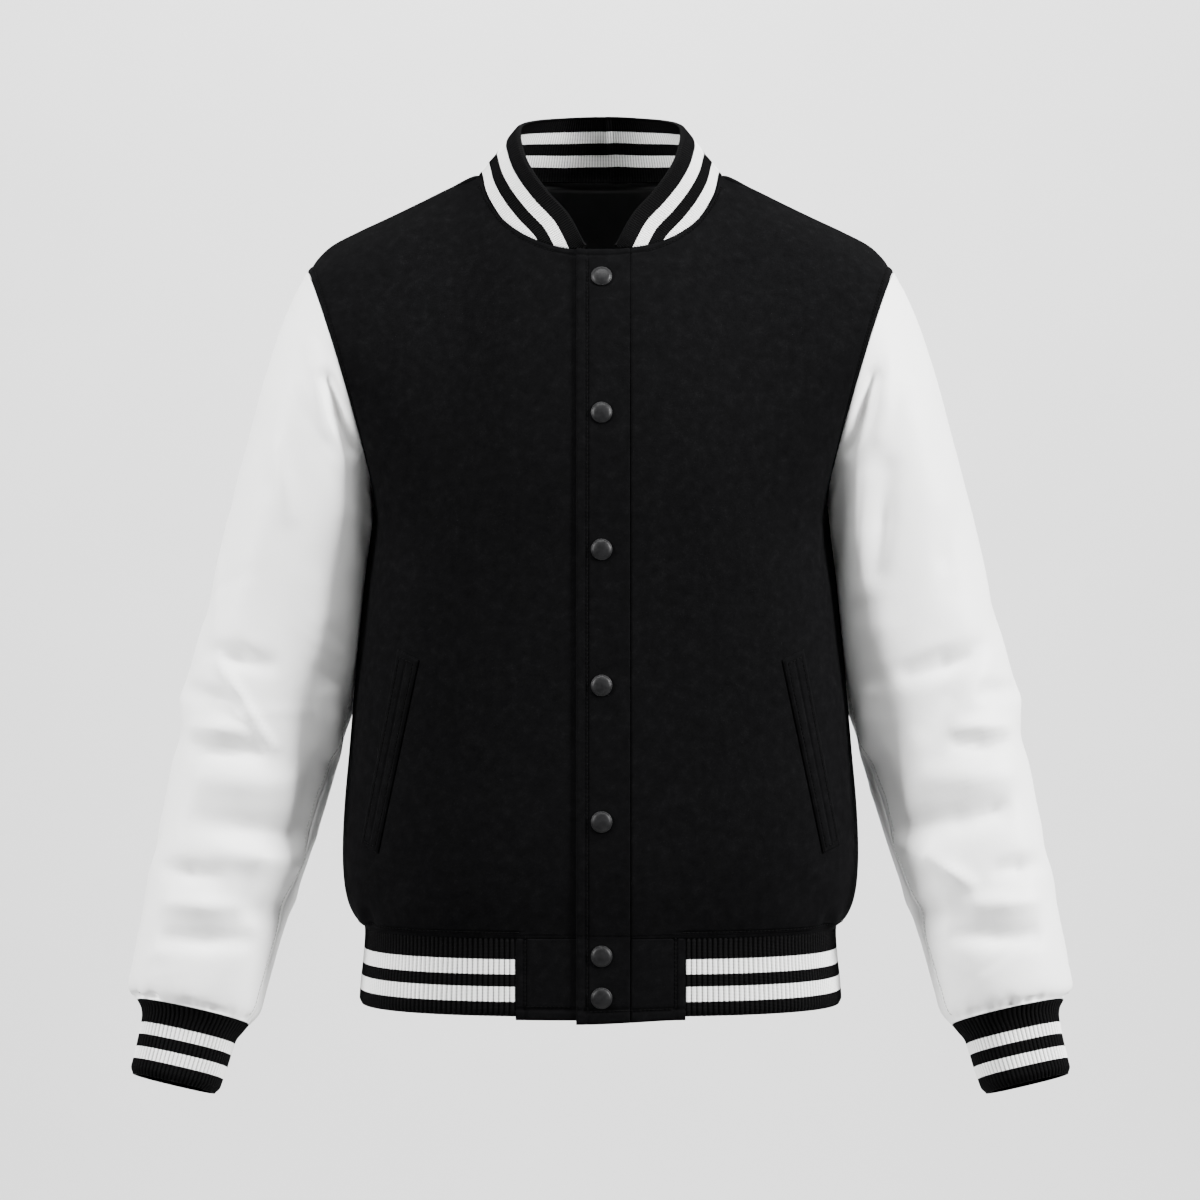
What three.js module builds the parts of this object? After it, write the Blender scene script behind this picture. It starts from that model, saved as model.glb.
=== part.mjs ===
import * as THREE from 'three';

// Varsity jacket in its worn form: wool body, leather sleeves, rib collar, cuffs and hem.
// Millimetres, Z up, the front faces minus Y, the wearer's left is plus X.
// The origin lies midway between the neck points, at their height.

const WALL = 2;
const HALF_SEAM = 0.2;
const SEAM = 0.45;
const ROUNDNESS = 2.6;
const RIB_DEPTH = 1;
const RIB_WALL = 2.6;

const PLACKET_EDGE = -18.7;
const PLACKET_SEAM = 22.6;
const UNDERLAP_EDGE = 19;
const LAP_LIFT = WALL + 0.4;
const LAP_FADE = 34;
const LAP_DROP = 3;
const TAB_DROP = 2.5;
const TAB_EDGE = 65.2;
const TAB_END = 65.6;

const HEM_RIB_PITCH = 3.5;
const CUFF_RIB_PITCH = 3.5;
const COLLAR_RIB_PITCH = 3;

const SHOULDER_TIP = [235, 0, -75];
const UNDERARM = [181, 0, -258];
const ARMHOLE_DEPTH = 72;
const ARMHOLE_BEND = 8;
const NECK_SHARE = 0.42;
const NECK_COLUMNS = 5;
const SHOULDER_COLUMNS = 6;
const ARMHOLE_ROWS = 12;

// Level sections of the body: height, half width, depth of the front, depth of the back.
const SECTIONS = [
  { z: -657, half: 192.4, front: 131.5, back: 112.5 },
  { z: -634, half: 190.5, front: 131.5, back: 111.5 },
  { z: -613, half: 188.3, front: 131.5, back: 111 },
  { z: -597, half: 188, front: 131.5, back: 111.5 },
  { z: -593, half: 193, front: 132, back: 115 },
  { z: -587, half: 197.5, front: 132.6, back: 118 },
  { z: -577, half: 201.5, front: 133.8, back: 120.5 },
  { z: -560, half: 204.5, front: 135.4, back: 122.3 },
  { z: -535, half: 205.5, front: 136.5, back: 123 },
  { z: -500, half: 204, front: 136.2, back: 123 },
  { z: -450, half: 200, front: 134.5, back: 122.5 },
  { z: -400, half: 195.3, front: 132.5, back: 122 },
  { z: -350, half: 190.3, front: 130, back: 121 },
  { z: -300, half: 185.8, front: 128, back: 120 },
  { z: -258, half: 181, front: 126, back: 118.5 },
];
const BELOW_HEM = [-657, -637, -617, -597];
const BODY_ROWS = [-593, -587, -577, -560, -535, -500, -460, -420, -380, -340, -300];
const HEM_ROW = BELOW_HEM.length - 1;
const TOP_ROW = HEM_ROW + BODY_ROWS.length + ARMHOLE_ROWS;
const ARM_ROW = TOP_ROW - ARMHOLE_ROWS;
const RISE_AT_SIDE = { '-380': 8, '-340': 21, '-300': 42 };

const FRONT_LINE = [[0, -128, -300], [0, -124.5, -240], [0, -117, -180], [0, -105, -120],
  [0, -94.5, -85], [0, -86, -65.5]];
const BACK_LINE = [[0, 120, -300], [0, 119.5, -240], [0, 118, -180], [0, 112.5, -120],
  [0, 102, -60], [0, 91, -20], [0, 78, 7]];
const FRONT_NECK = [[0, -86, -65.5], [12.8, -85.2, -65], [34, -79.5, -61.8], [48, -72.5, -56.5],
  [68.7, -56, -45], [84, -35, -28], [92.5, -17, -13], [98, 5, 3]];
const BACK_NECK = [[0, 78, 7], [30, 75, 7], [60, 62, 6.6], [84, 39, 5.4], [98, 5, 3]];
const SHOULDER = [[98, 5, 3], [125, 5, -9], [158, 4, -25.5], [196, 2.5, -43.5], [215, 1.5, -54],
  [229, 0.5, -64], SHOULDER_TIP];

// Soft folds of the body: ends on the surface as x and z, width and height of the swell.
const BODY_FOLDS = [
  { face: -1, from: [178, -262], to: [120, -330], width: 22, lift: -2.2 },
  { face: -1, from: [-178, -262], to: [-126, -318], width: 20, lift: -2 },
  { face: -1, from: [150, -560], to: [186, -588], width: 13, lift: -1.8 },
  { face: -1, from: [-154, -556], to: [-188, -588], width: 14, lift: -2 },
  { face: 1, from: [150, -300], to: [60, -360], width: 28, lift: -2.6 },
  { face: 1, from: [-146, -310], to: [-50, -380], width: 30, lift: -2.4 },
  { face: 1, from: [120, -530], to: [140, -592], width: 18, lift: -2.2 },
  { face: 1, from: [-60, -520], to: [-84, -592], width: 20, lift: 2 },
  { face: 1, from: [-150, -540], to: [-140, -594], width: 16, lift: -2 },
];

// Rings of a sleeve from armhole to cuff: outermost and innermost point, middle depth,
// depth of its front and back halves, and how far its front is lifted, in degrees.
const SLEEVE = [
  { ox: 235, oz: -75, ix: 181, iz: -258, y: 0, front: 72, back: 72, pitch: 0 },
  { ox: 252, oz: -110, ix: 185, iz: -277, y: 2, front: 75, back: 76, pitch: 0 },
  { ox: 266, oz: -152, ix: 183, iz: -300, y: 4, front: 78, back: 80, pitch: 0 },
  { ox: 281, oz: -207, ix: 181.5, iz: -325, y: 6, front: 79, back: 82, pitch: 0 },
  { ox: 298, oz: -271, ix: 182.5, iz: -355, y: 8, front: 79, back: 82, pitch: 1 },
  { ox: 311, oz: -325, ix: 186.5, iz: -388, y: 8, front: 77, back: 80, pitch: 3 },
  { ox: 322, oz: -370, ix: 194.5, iz: -417, y: 5, front: 75, back: 77, pitch: 6 },
  { ox: 331, oz: -410, ix: 205.5, iz: -447, y: 0, front: 72, back: 73, pitch: 9 },
  { ox: 338, oz: -452, ix: 214, iz: -482, y: -8, front: 68, back: 69, pitch: 11 },
  { ox: 347, oz: -505, ix: 228.5, iz: -531, y: -19, front: 64, back: 65, pitch: 11.5 },
  { ox: 356, oz: -545, ix: 240.5, iz: -567, y: -28, front: 61, back: 61, pitch: 11.5 },
  { ox: 361, oz: -583, ix: 252, iz: -602, y: -36, front: 58, back: 58, pitch: 11.5 },
  { ox: 368, oz: -622, ix: 262, iz: -640, y: -45, front: 56, back: 56, pitch: 11.5 },
  { ox: 371, oz: -643, ix: 267.5, iz: -661, y: -50, front: 53, back: 53, pitch: 11.5 },
  { ox: 364.5, oz: -651.5, ix: 275.5, iz: -671, y: -52.5, front: 46, back: 46, pitch: 11.5 },
];
const CUFF = [
  { ox: 363.8, oz: -652.5, ix: 276.4, iz: -671.6, y: -52.7, front: 45, back: 45, pitch: 11.5 },
  { ox: 360, oz: -668, ix: 287.4, iz: -684.5, y: -56.5, front: 38.5, back: 38.5, pitch: 11.5 },
  { ox: 368.2, oz: -708, ix: 299.5, iz: -724, y: -66, front: 37, back: 37, pitch: 11.5 },
];
const SLEEVE_RINGS = [0, 0.25, 0.6, 1, 1.6, 2.2, 2.9, 3.6, 4.3, 5, 5.7, 6.4, 7, 7.6, 8.3, 9.1, 10,
  10.9, 11.8, 12.5, 13, 13.6, 14];
const SLEEVE_COLUMNS = 2 * ARMHOLE_ROWS;
const SLEEVE_SEAMS = { front: 165, back: 255, halfGap: 0.2 };
const SLEEVE_CLEAR = 1;
const GATHER = 0.8;

// Folds of a sleeve: ends as ring number and angle round the sleeve, 0 outer, 90 front, 180 inner.
const SLEEVE_FOLDS = [
  { from: [0.85, 96], to: [2.1, 152], width: 12, lift: -5.5 },
  { from: [1.3, 84], to: [2.8, 128], width: 13, lift: 4.5 },
  { from: [0.8, 150], to: [2, 158], width: 10, lift: 4 },
  { from: [6.1, 46], to: [7.9, 99], width: 12, lift: 7.5 },
  { from: [5.6, 54], to: [6, 84], width: 15, lift: -7.5 },
  { from: [6.9, 34], to: [7.1, 62], width: 14, lift: 7.5 },
  { from: [7.75, 44], to: [7.9, 74], width: 10, lift: -7 },
  { from: [7.3, 150], to: [7.4, 185], width: 12, lift: 4 },
  { from: [6.7, 150], to: [6.8, 200], width: 11, lift: -3 },
  { from: [9.1, 62], to: [8.9, 108], width: 16, lift: -5.5 },
  { from: [10.1, 34], to: [9.9, 72], width: 14, lift: -6 },
  { from: [11.25, 66], to: [11.3, 112], width: 14, lift: -6 },
  { from: [1, 262], to: [2.4, 205], width: 13, lift: -4 },
  { from: [6.3, 215], to: [6.9, 275], width: 13, lift: 5.5 },
  { from: [7.2, 205], to: [7.6, 262], width: 12, lift: -5.5 },
  { from: [9.2, 240], to: [8.9, 290], width: 17, lift: -4.5 },
  { from: [11, 225], to: [11.2, 270], width: 15, lift: -5 },
  { from: [4.2, 320], to: [5.2, 350], width: 24, lift: -2 },
];

// The collar: distance along the neck seam from its front end, and the top edge above that place.
const COLLAR = [
  { seam: 0, top: [12.4, -86.6, -61.8] },
  { seam: 24, top: [17, -80.5, -51] },
  { seam: 48, top: [25.4, -70, -35] },
  { seam: 79, top: [42, -55, -15.6] },
  { seam: 112, top: [54.9, -40, 2.6] },
  { seam: 134, top: [61.5, -27, 16] },
  { seam: 164, top: [66.5, 0, 38.5] },
  { seam: 186, top: [64.5, 16, 46] },
  { seam: 212, top: [53.5, 36, 51.5] },
  { seam: 248, top: [29, 57, 56] },
  { seam: 286, top: [0, 65, 57.5] },
];
const COLLAR_END = 12.4;
const COLLAR_BULGE = 2.5;
const COLLAR_GAP = 0.55;
const COLLAR_GAP_LAPPED = 0.9;

const WELT = { corners: [[156.9, -376.3], [140, -384], [172, -534], [186, -528]], thick: 1.8 };
const SNAP_HEIGHTS = [-88, -194, -299, -403, -507, -610, -642];
const SNAP = { radius: 7.85, height: 3.4, sides: 14, x: 0.8, gap: 0.35 };

const COLOURS = {
  wool: { color: 0x161617, roughness: 0.95, metalness: 0 },
  leather: { color: 0xe6e6e3, roughness: 0.5, metalness: 0 },
  rib: { color: 0x141414, roughness: 0.95, metalness: 0 },
  snap: { color: 0x1b1b1e, roughness: 0.3, metalness: 0.8 },
};

const plus = (p, q, k = 1) => [p[0] + q[0] * k, p[1] + q[1] * k, p[2] + q[2] * k];
const minus = (p, q) => plus(p, q, -1);
const mix = (p, q, t) => p.map((c, i) => c + (q[i] - c) * t);
const length = (p) => Math.hypot(...p);
const unit = (p) => p.map((c) => c / (length(p) || 1));
const cross = (p, q) => [p[1] * q[2] - p[2] * q[1], p[2] * q[0] - p[0] * q[2],
  p[0] * q[1] - p[1] * q[0]];
const dot = (p, q) => p[0] * q[0] + p[1] * q[1] + p[2] * q[2];
const clamp = (x, lo, hi) => Math.min(hi, Math.max(lo, x));
const ease = (lo, hi, x) => {
  const t = clamp((x - lo) / (hi - lo), 0, 1);
  return t * t * (3 - 2 * t);
};

// Smooth curve through values at uneven stations.
function through(stations, values, x) {
  const last = stations.length - 1;
  let i = 0;
  while (i < last - 1 && x > stations[i + 1]) i += 1;
  const rise = (k) => (values[k + 1] - values[k]) / (stations[k + 1] - stations[k]);
  const slope = (k) => {
    if (k === 0) return rise(0);
    if (k === last) return rise(last - 1);
    const before = stations[k] - stations[k - 1];
    const after = stations[k + 1] - stations[k];
    return (rise(k) * before + rise(k - 1) * after) / (before + after);
  };
  const step = stations[i + 1] - stations[i];
  const t = (x - stations[i]) / step;
  const a = values[i];
  const b = values[i + 1];
  const inside = a + (b - a) * t;
  const bend = (slope(i) * step - (b - a)) * (1 - t) + ((b - a) - slope(i + 1) * step) * t;
  return inside + t * (1 - t) * bend;
}

function curve(points) {
  const stations = [0];
  for (let i = 1; i < points.length; i += 1) {
    stations.push(stations[i - 1] + length(minus(points[i], points[i - 1])));
  }
  const total = stations[stations.length - 1];
  return (t) => [0, 1, 2].map((axis) => through(stations, points.map((p) => p[axis]), t * total));
}

function rowAt(table, key, stationOf, x) {
  return through(table.map(stationOf), table.map((row) => row[key]), x);
}

// Level section of the body at an angle from its middle line: 0 at the middle, 1 at the side.
function section(face, share, z) {
  const angle = share * Math.PI / 2;
  const half = rowAt(SECTIONS, 'half', (row) => row.z, z);
  const depth = rowAt(SECTIONS, face < 0 ? 'front' : 'back', (row) => row.z, z);
  const s = Math.sin(Math.abs(angle));
  const c = Math.max(Math.cos(angle), 0);
  const r = (s ** ROUNDNESS + c ** ROUNDNESS) ** (-1 / ROUNDNESS);
  return [Math.sign(angle) * half * s * r, face * depth * c * r, z];
}

const bodyHalfAt = (y, z) => {
  const half = rowAt(SECTIONS, 'half', (row) => row.z, z);
  const depth = rowAt(SECTIONS, y < 0 ? 'front' : 'back', (row) => row.z, z);
  const rest = Math.max(0, 1 - Math.abs(y / depth) ** ROUNDNESS);
  return half * rest ** (1 / ROUNDNESS);
};

const ARMHOLE_MIDDLE = mix(SHOULDER_TIP, UNDERARM, 0.5);
const ARMHOLE_DOWN = minus(UNDERARM, ARMHOLE_MIDDLE);
const armholeAt = (face, t) => plus(
  plus(ARMHOLE_MIDDLE, ARMHOLE_DOWN, Math.cos(Math.PI * t)),
  [-ARMHOLE_BEND, face * ARMHOLE_DEPTH, 0], Math.sin(Math.PI * t),
);

const COLUMNS = [];
for (let i = 0; i < NECK_COLUMNS; i += 1) COLUMNS.push(NECK_SHARE * i / NECK_COLUMNS);
for (let i = 0; i <= SHOULDER_COLUMNS; i += 1) {
  COLUMNS.push(NECK_SHARE + (1 - NECK_SHARE) * i / SHOULDER_COLUMNS);
}

// The grid of one face of the body, from the bottom edge up to neck and shoulder.
function bodyGrid(face) {
  const middle = curve(face < 0 ? FRONT_LINE : BACK_LINE);
  const neck = curve(face < 0 ? FRONT_NECK : BACK_NECK);
  const shoulder = curve(SHOULDER);
  const top = (u) => (u <= NECK_SHARE
    ? neck(u / NECK_SHARE) : shoulder((u - NECK_SHARE) / (1 - NECK_SHARE)));
  const rows = [];
  [...BELOW_HEM, ...BODY_ROWS].forEach((z) => {
    const rise = RISE_AT_SIDE[z] || 0;
    rows.push(COLUMNS.map((u) => section(face, u, z + rise * u ** 6)));
  });
  const bottom = rows[ARM_ROW];
  const corners = [bottom[0], bottom[bottom.length - 1], top(0), top(1)];
  for (let j = 1; j <= ARMHOLE_ROWS; j += 1) {
    const v = j / ARMHOLE_ROWS;
    rows.push(COLUMNS.map((u, i) => {
      const along = mix(bottom[i], top(u), v);
      const across = mix(middle(v), armholeAt(face, v), u);
      const flat = mix(mix(corners[0], corners[1], u), mix(corners[2], corners[3], u), v);
      return minus(plus(along, across), flat);
    }));
  }
  const mirrored = rows.map((row) => [
    ...row.slice(1).reverse().map((p) => [-p[0], p[1], p[2]]), ...row]);
  return relaxed(mirrored, HEM_ROW + 7, 24);
}

// Evens out the inner points of a grid above a row without shrinking it.
function relaxed(grid, firstRow, passes) {
  let now = grid;
  for (let pass = 0; pass < passes; pass += 1) {
    const amount = pass % 2 ? -0.51 : 0.5;
    const before = now;
    now = before.map((row, j) => row.map((p, i) => {
      if (j < firstRow || j === before.length - 1 || i === 0 || i === row.length - 1) return p;
      const around = plus(plus(before[j - 1][i], before[j + 1][i]), plus(row[i - 1], row[i + 1]));
      return mix(p, around.map((c) => c / 4), amount);
    }));
  }
  return now;
}

const cubic = (a, b, c, d, t) => b + 0.5 * t * (c - a + t * (2 * a - 5 * b + 4 * c - d
  + t * (3 * (b - c) + d - a)));

function patch(grid) {
  const wide = grid[0].length - 1;
  const tall = grid.length - 1;
  const point = (j, i) => {
    if (j < 0) return minus(mix(point(0, i), point(0, i), 0), minus(point(1, i), point(0, i)));
    if (j > tall) return plus(point(tall, i), minus(point(tall, i), point(tall - 1, i)));
    if (i < 0) return plus(grid[j][0], minus(grid[j][0], grid[j][1]));
    if (i > wide) return plus(grid[j][wide], minus(grid[j][wide], grid[j][wide - 1]));
    return grid[j][i];
  };
  return (column, row) => {
    const i = clamp(Math.floor(column), 0, wide - 1);
    const j = clamp(Math.floor(row), 0, tall - 1);
    const across = [-1, 0, 1, 2].map((dj) => [0, 1, 2].map((axis) => cubic(
      point(j + dj, i - 1)[axis], point(j + dj, i)[axis],
      point(j + dj, i + 1)[axis], point(j + dj, i + 2)[axis], column - i)));
    return [0, 1, 2].map((axis) => cubic(...across.map((p) => p[axis]), row - j));
  };
}

const MIDDLE_COLUMN = COLUMNS.length - 1;
const PATCHES = { '-1': patch(bodyGrid(-1)), 1: patch(bodyGrid(1)) };
const columnOf = (u) => {
  const size = Math.abs(u);
  let i = 0;
  while (i < COLUMNS.length - 2 && size > COLUMNS[i + 1]) i += 1;
  const part = (size - COLUMNS[i]) / (COLUMNS[i + 1] - COLUMNS[i]);
  return MIDDLE_COLUMN + Math.sign(u) * (i + part);
};

const sideways = (p) => unit([p[0], 0, p[2]]);

// Outward direction of a face of the body. Seams share one direction with the piece beyond.
function bodyNormal(face, u, row) {
  const at = PATCHES[face];
  const column = columnOf(u);
  const step = 0.2;
  const end = 2 * MIDDLE_COLUMN;
  const across = minus(at(Math.min(column + step, end), row), at(Math.max(column - step, 0), row));
  const up = minus(at(column, Math.min(row + step, TOP_ROW)), at(column, Math.max(row - step, 0)));
  const normal = unit(cross(across, up));
  const out = face < 0 ? normal : normal.map((c) => -c);
  const onSide = Math.abs(u) > 0.99 && row <= ARM_ROW + 0.01;
  const onShoulder = row > TOP_ROW - 0.1 && Math.abs(u) > NECK_SHARE - 0.01;
  return onSide || onShoulder ? sideways(out) : out;
}

function swell(folds, place, measure) {
  let sum = 0;
  folds.forEach((fold) => {
    const a = measure(fold.from);
    const b = measure(fold.to);
    const along = b.map((c, i) => c - a[i]);
    const away = place.map((c, i) => c - a[i]);
    const size = along[0] ** 2 + along[1] ** 2;
    const t = clamp((away[0] * along[0] + away[1] * along[1]) / size, 0, 1);
    const off = Math.hypot(away[0] - along[0] * t, away[1] - along[1] * t) / fold.width;
    sum += fold.lift * Math.exp(-off * off) * (1 - 0.5 * Math.abs(2 * t - 1));
  });
  return sum;
}

// A point of the outer surface of the body, lifted where the left front laps over the right.
function bodyAt(face, u, row, lift = 0) {
  const base = PATCHES[face](columnOf(u), row);
  const normal = bodyNormal(face, u, row);
  const folds = BODY_FOLDS.filter((fold) => fold.face === face);
  const quiet = ease(HEM_ROW, HEM_ROW + 2, row) * ease(TOP_ROW, TOP_ROW - 3, row)
    * ease(0.999, 0.9, Math.abs(u));
  const fold = swell(folds, [base[0], base[2]], (p) => p) * quiet;
  return { point: plus(base, normal, lift + fold), normal };
}

const lapLift = (x) => LAP_LIFT * (1 - ease(PLACKET_SEAM, PLACKET_SEAM + LAP_FADE, x));

// The share of a face at which its surface stands at a given x.
function shareAt(face, x, row) {
  let lo = -0.95;
  let hi = 0.95;
  for (let i = 0; i < 32; i += 1) {
    const u = (lo + hi) / 2;
    if (PATCHES[face](columnOf(u), row)[0] < x) lo = u;
    else hi = u;
  }
  return (lo + hi) / 2;
}

// The closed wall between two grids of points. Rows that wrap close on themselves.
function shell(outer, inner, wrap) {
  const points = [];
  const index = [];
  const number = (grid) => grid.map((row) => row.map((p) => points.push(p) - 1));
  const outside = number(outer);
  const inside = number(inner);
  const face = (grid, turn) => {
    for (let j = 0; j + 1 < grid.length; j += 1) {
      const n = grid[j].length;
      for (let i = 0; i < (wrap ? n : n - 1); i += 1) {
        const k = (i + 1) % n;
        const [a, b, c, d] = [grid[j][i], grid[j][k], grid[j + 1][k], grid[j + 1][i]];
        index.push(...(turn ? [a, c, b, a, d, c] : [a, b, c, a, c, d]));
      }
    }
  };
  face(outside, false);
  face(inside, true);
  const zip = (a, b, turn) => {
    const ends = wrap ? [[...a, a[0]], [...b, b[0]]] : [a, b];
    const [m, n] = ends.map((loop) => loop.length - 1);
    let i = 0;
    let j = 0;
    while (i < m || j < n) {
      const stepFirst = j === n || (i < m && (i + 1) * n <= (j + 1) * m);
      const tri = stepFirst ? [ends[0][i], ends[1][j], ends[0][i + 1]]
        : [ends[0][i], ends[1][j], ends[1][j + 1]];
      index.push(...(turn ? [tri[0], tri[2], tri[1]] : tri));
      if (stepFirst) i += 1;
      else j += 1;
    }
  };
  const last = outside.length - 1;
  zip(outside[0], inside[0], false);
  zip(outside[last], inside[last], true);
  if (!wrap) {
    const side = (grid, i) => grid.map((row) => row[i < 0 ? row.length - 1 : 0]);
    zip(side(outside, 0), side(inside, 0), true);
    zip(side(outside, -1), side(inside, -1), false);
  }
  return solid(points, index);
}

function solid(points, index) {
  let volume = 0;
  for (let i = 0; i < index.length; i += 3) {
    const [a, b, c] = [points[index[i]], points[index[i + 1]], points[index[i + 2]]];
    volume += dot(a, cross(b, c));
  }
  const facing = volume > 0 ? index : index.slice().reverse();
  const geometry = new THREE.BufferGeometry();
  geometry.setAttribute('position', new THREE.Float32BufferAttribute(points.flat(), 3));
  geometry.setIndex(facing);
  geometry.computeVertexNormals();
  return geometry;
}

function wallOf(rows, columnsOf, at, thick) {
  const outer = [];
  const inner = [];
  rows.forEach((row) => {
    const samples = columnsOf(row).map((column) => at(column, row));
    outer.push(samples.map((s) => s.point));
    inner.push(samples.map((s) => plus(s.point, s.normal, -thick)));
  });
  return shell(outer, inner, false);
}

const span = (from, to, count) => Array.from({ length: count + 1 },
  (_, i) => from + (to - from) * i / count);

const BODY_ROW_LIST = [HEM_ROW + 0.06, ...span(HEM_ROW + 1, TOP_ROW - 1, TOP_ROW - HEM_ROW - 2),
  TOP_ROW - 0.012];
const TAB_ROW_LIST = [0, 1, 2, HEM_ROW - 0.014];
const SIDE_END = 0.9993;
const OUTER_COLUMNS = COLUMNS.slice(1, -1);

// Columns of the wearer's left front start beside the placket, those of the right front run
// on under it.
const leftColumns = (row) => [shareAt(-1, PLACKET_SEAM + 2 * HALF_SEAM, row),
  ...OUTER_COLUMNS.slice(1), SIDE_END];
const rightColumns = (row) => [-SIDE_END, ...OUTER_COLUMNS.map((u) => -u).reverse(), 0,
  shareAt(-1, UNDERLAP_EDGE, row)];
const backColumns = () => [-SIDE_END, ...OUTER_COLUMNS.map((u) => -u).reverse(), 0,
  ...OUTER_COLUMNS, SIDE_END];

// The tabs hang below the rib, and the lapped one hangs lower towards its front edge.
const hung = ({ point, normal }, row, drop) => (
  { point: plus(point, [0, 0, -1], drop * Math.max(0, 1 - row)), normal });
const lappedAt = (u, row) => {
  const x = PATCHES[-1](columnOf(u), row)[0];
  const drop = TAB_DROP + LAP_DROP * (1 - ease(PLACKET_EDGE, TAB_EDGE, x));
  return hung(bodyAt(-1, u, row, lapLift(x)), row, drop);
};
const plainFront = (u, row) => bodyAt(-1, u, row);
const plainTab = (u, row) => hung(plainFront(u, row), row, TAB_DROP);
const plainBack = (u, row) => bodyAt(1, u, row);

function frontStrip(rows, from, to, count, at) {
  return wallOf(rows, (row) => span(shareAt(-1, from, row), shareAt(-1, to, row), count), at, WALL);
}

// A ring of a sleeve or cuff at an angle: 0 outer, 90 front, 180 inner, in degrees.
function ringAt(table, ring, degrees) {
  const read = (key) => rowAt(table, key, (row) => table.indexOf(row), ring);
  const outerPoint = [read('ox'), read('y'), read('oz')];
  const innerPoint = [read('ix'), read('y'), read('iz')];
  const middle = mix(outerPoint, innerPoint, 0.5);
  const angle = degrees * Math.PI / 180;
  const pitch = read('pitch') * Math.PI / 180;
  const side = Math.sin(angle);
  const depth = read(side > 0 ? 'front' : 'back') * side;
  const across = [0, -Math.cos(pitch) * depth, Math.sin(pitch) * depth];
  return {
    point: plus(plus(middle, minus(outerPoint, middle), Math.cos(angle)), across),
    middle,
  };
}

const SLEEVE_AXIS = unit([UNDERARM[2] - SHOULDER_TIP[2], 0, SHOULDER_TIP[0] - UNDERARM[0]]
  .map((c) => -c));

function bareSleeve(ring, degrees) {
  const { point, middle } = ringAt(SLEEVE, ring, degrees);
  const inset = 1 - ease(0, 0.6, ring);
  const bend = ARMHOLE_BEND * Math.abs(Math.sin(degrees * Math.PI / 180)) * (1 - ease(0, 2.6, ring));
  const start = plus(plus(point, unit(minus(middle, point)), inset), [-bend, 0, 0]);
  const moved = plus(start, SLEEVE_AXIS, SEAM * (1 - ease(0, 1, ring)));
  const [x, y, z] = moved;
  const near = ease(-258.2, -263, z);
  if (!near || Math.abs(y) > 108) return moved;
  const least = bodyHalfAt(y, Math.min(z, UNDERARM[2])) + SLEEVE_CLEAR;
  const gap = x - least;
  const pressed = least + 0.5 * (gap + Math.sqrt(gap * gap + 2));
  return [x + (pressed - x) * near, y, z];
}

function sleeveNormal(ring, degrees) {
  const last = SLEEVE.length - 1;
  const along = minus(bareSleeve(Math.min(ring + 0.12, last), degrees),
    bareSleeve(Math.max(ring - 0.12, 0), degrees));
  const round = minus(bareSleeve(ring, degrees + 4), bareSleeve(ring, degrees - 4));
  const normal = unit(cross(along, round));
  const { middle } = ringAt(SLEEVE, ring, degrees);
  const out = minus(bareSleeve(ring, degrees), middle);
  const facing = dot(normal, out) < 0 ? normal.map((c) => -c) : normal;
  const atEnd = Math.max(1 - ease(0, 0.4, ring), ease(last - 0.5, last, ring));
  return unit(mix(facing, unit(out), atEnd));
}

const FOLD_STEP = [41, 1.15];
function sleeveAt(ring, degrees) {
  const normal = sleeveNormal(ring, degrees);
  const measure = (p) => [p[0] * FOLD_STEP[0], p[1] * FOLD_STEP[1]];
  const quiet = ease(0, 0.6, ring) * ease(14, 12.8, ring);
  const turned = degrees % 360;
  const pressed = turned > 140 && turned < 260 && ring < 6.5 ? 0.35 : 1;
  const fold = quiet * [turned - 360, turned, turned + 360]
    .reduce((sum, angle) => sum + swell(SLEEVE_FOLDS, measure([ring, angle]), measure), 0);
  const lift = fold > 0 ? fold : fold * pressed;
  const gathers = GATHER * ease(12.6, 13, ring) * ease(14, 13.6, ring);
  const column = Math.round(degrees * SLEEVE_COLUMNS / 360);
  return { point: plus(bareSleeve(ring, degrees), normal, lift + (column % 2 ? gathers : 0)), normal };
}

const mirror = (side, p) => [side * p[0], p[1], p[2]];

// A sleeve is sewn from a top sleeve and an under sleeve, each between the same two seams.
function sleevePanel(side, from, to) {
  const step = 360 / SLEEVE_COLUMNS;
  const gap = SLEEVE_SEAMS.halfGap;
  const angles = [from + gap, ...span(from + step, to - step, (to - from) / step - 2), to - gap];
  const at = (angle, ring) => {
    const { point, normal } = sleeveAt(ring, angle);
    return { point: mirror(side, point), normal: mirror(side, normal) };
  };
  return wallOf(SLEEVE_RINGS, () => angles, at, WALL);
}

// A ribbed wall: two outer points for each rib over a plain inside with wider steps.
function ribbed(rows, ribs, plainSteps, at, wrap) {
  const shares = (count) => span(0, 1, count).slice(0, wrap ? -1 : count + 1);
  const outer = rows.map((row) => shares(2 * ribs).map((share, i) => {
    const s = at(share, row);
    return plus(s.point, s.normal, i % 2 ? 0 : -RIB_DEPTH);
  }));
  const inner = rows.map((row) => shares(plainSteps).map((share) => {
    const s = at(share, row);
    return plus(s.point, s.normal, -RIB_WALL);
  }));
  return shell(outer, inner, wrap);
}

function cuff(side) {
  const at = (share, row) => {
    const { point, middle } = ringAt(CUFF, row, share * 360);
    return { point: mirror(side, point), normal: mirror(side, unit(minus(point, middle))) };
  };
  const girth = Math.PI * (CUFF[1].ox - CUFF[1].ix + CUFF[2].ox - CUFF[2].ix) / 2;
  return ribbed([0, 1, 2], Math.round(girth / CUFF_RIB_PITCH), 30, at, true);
}

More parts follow.
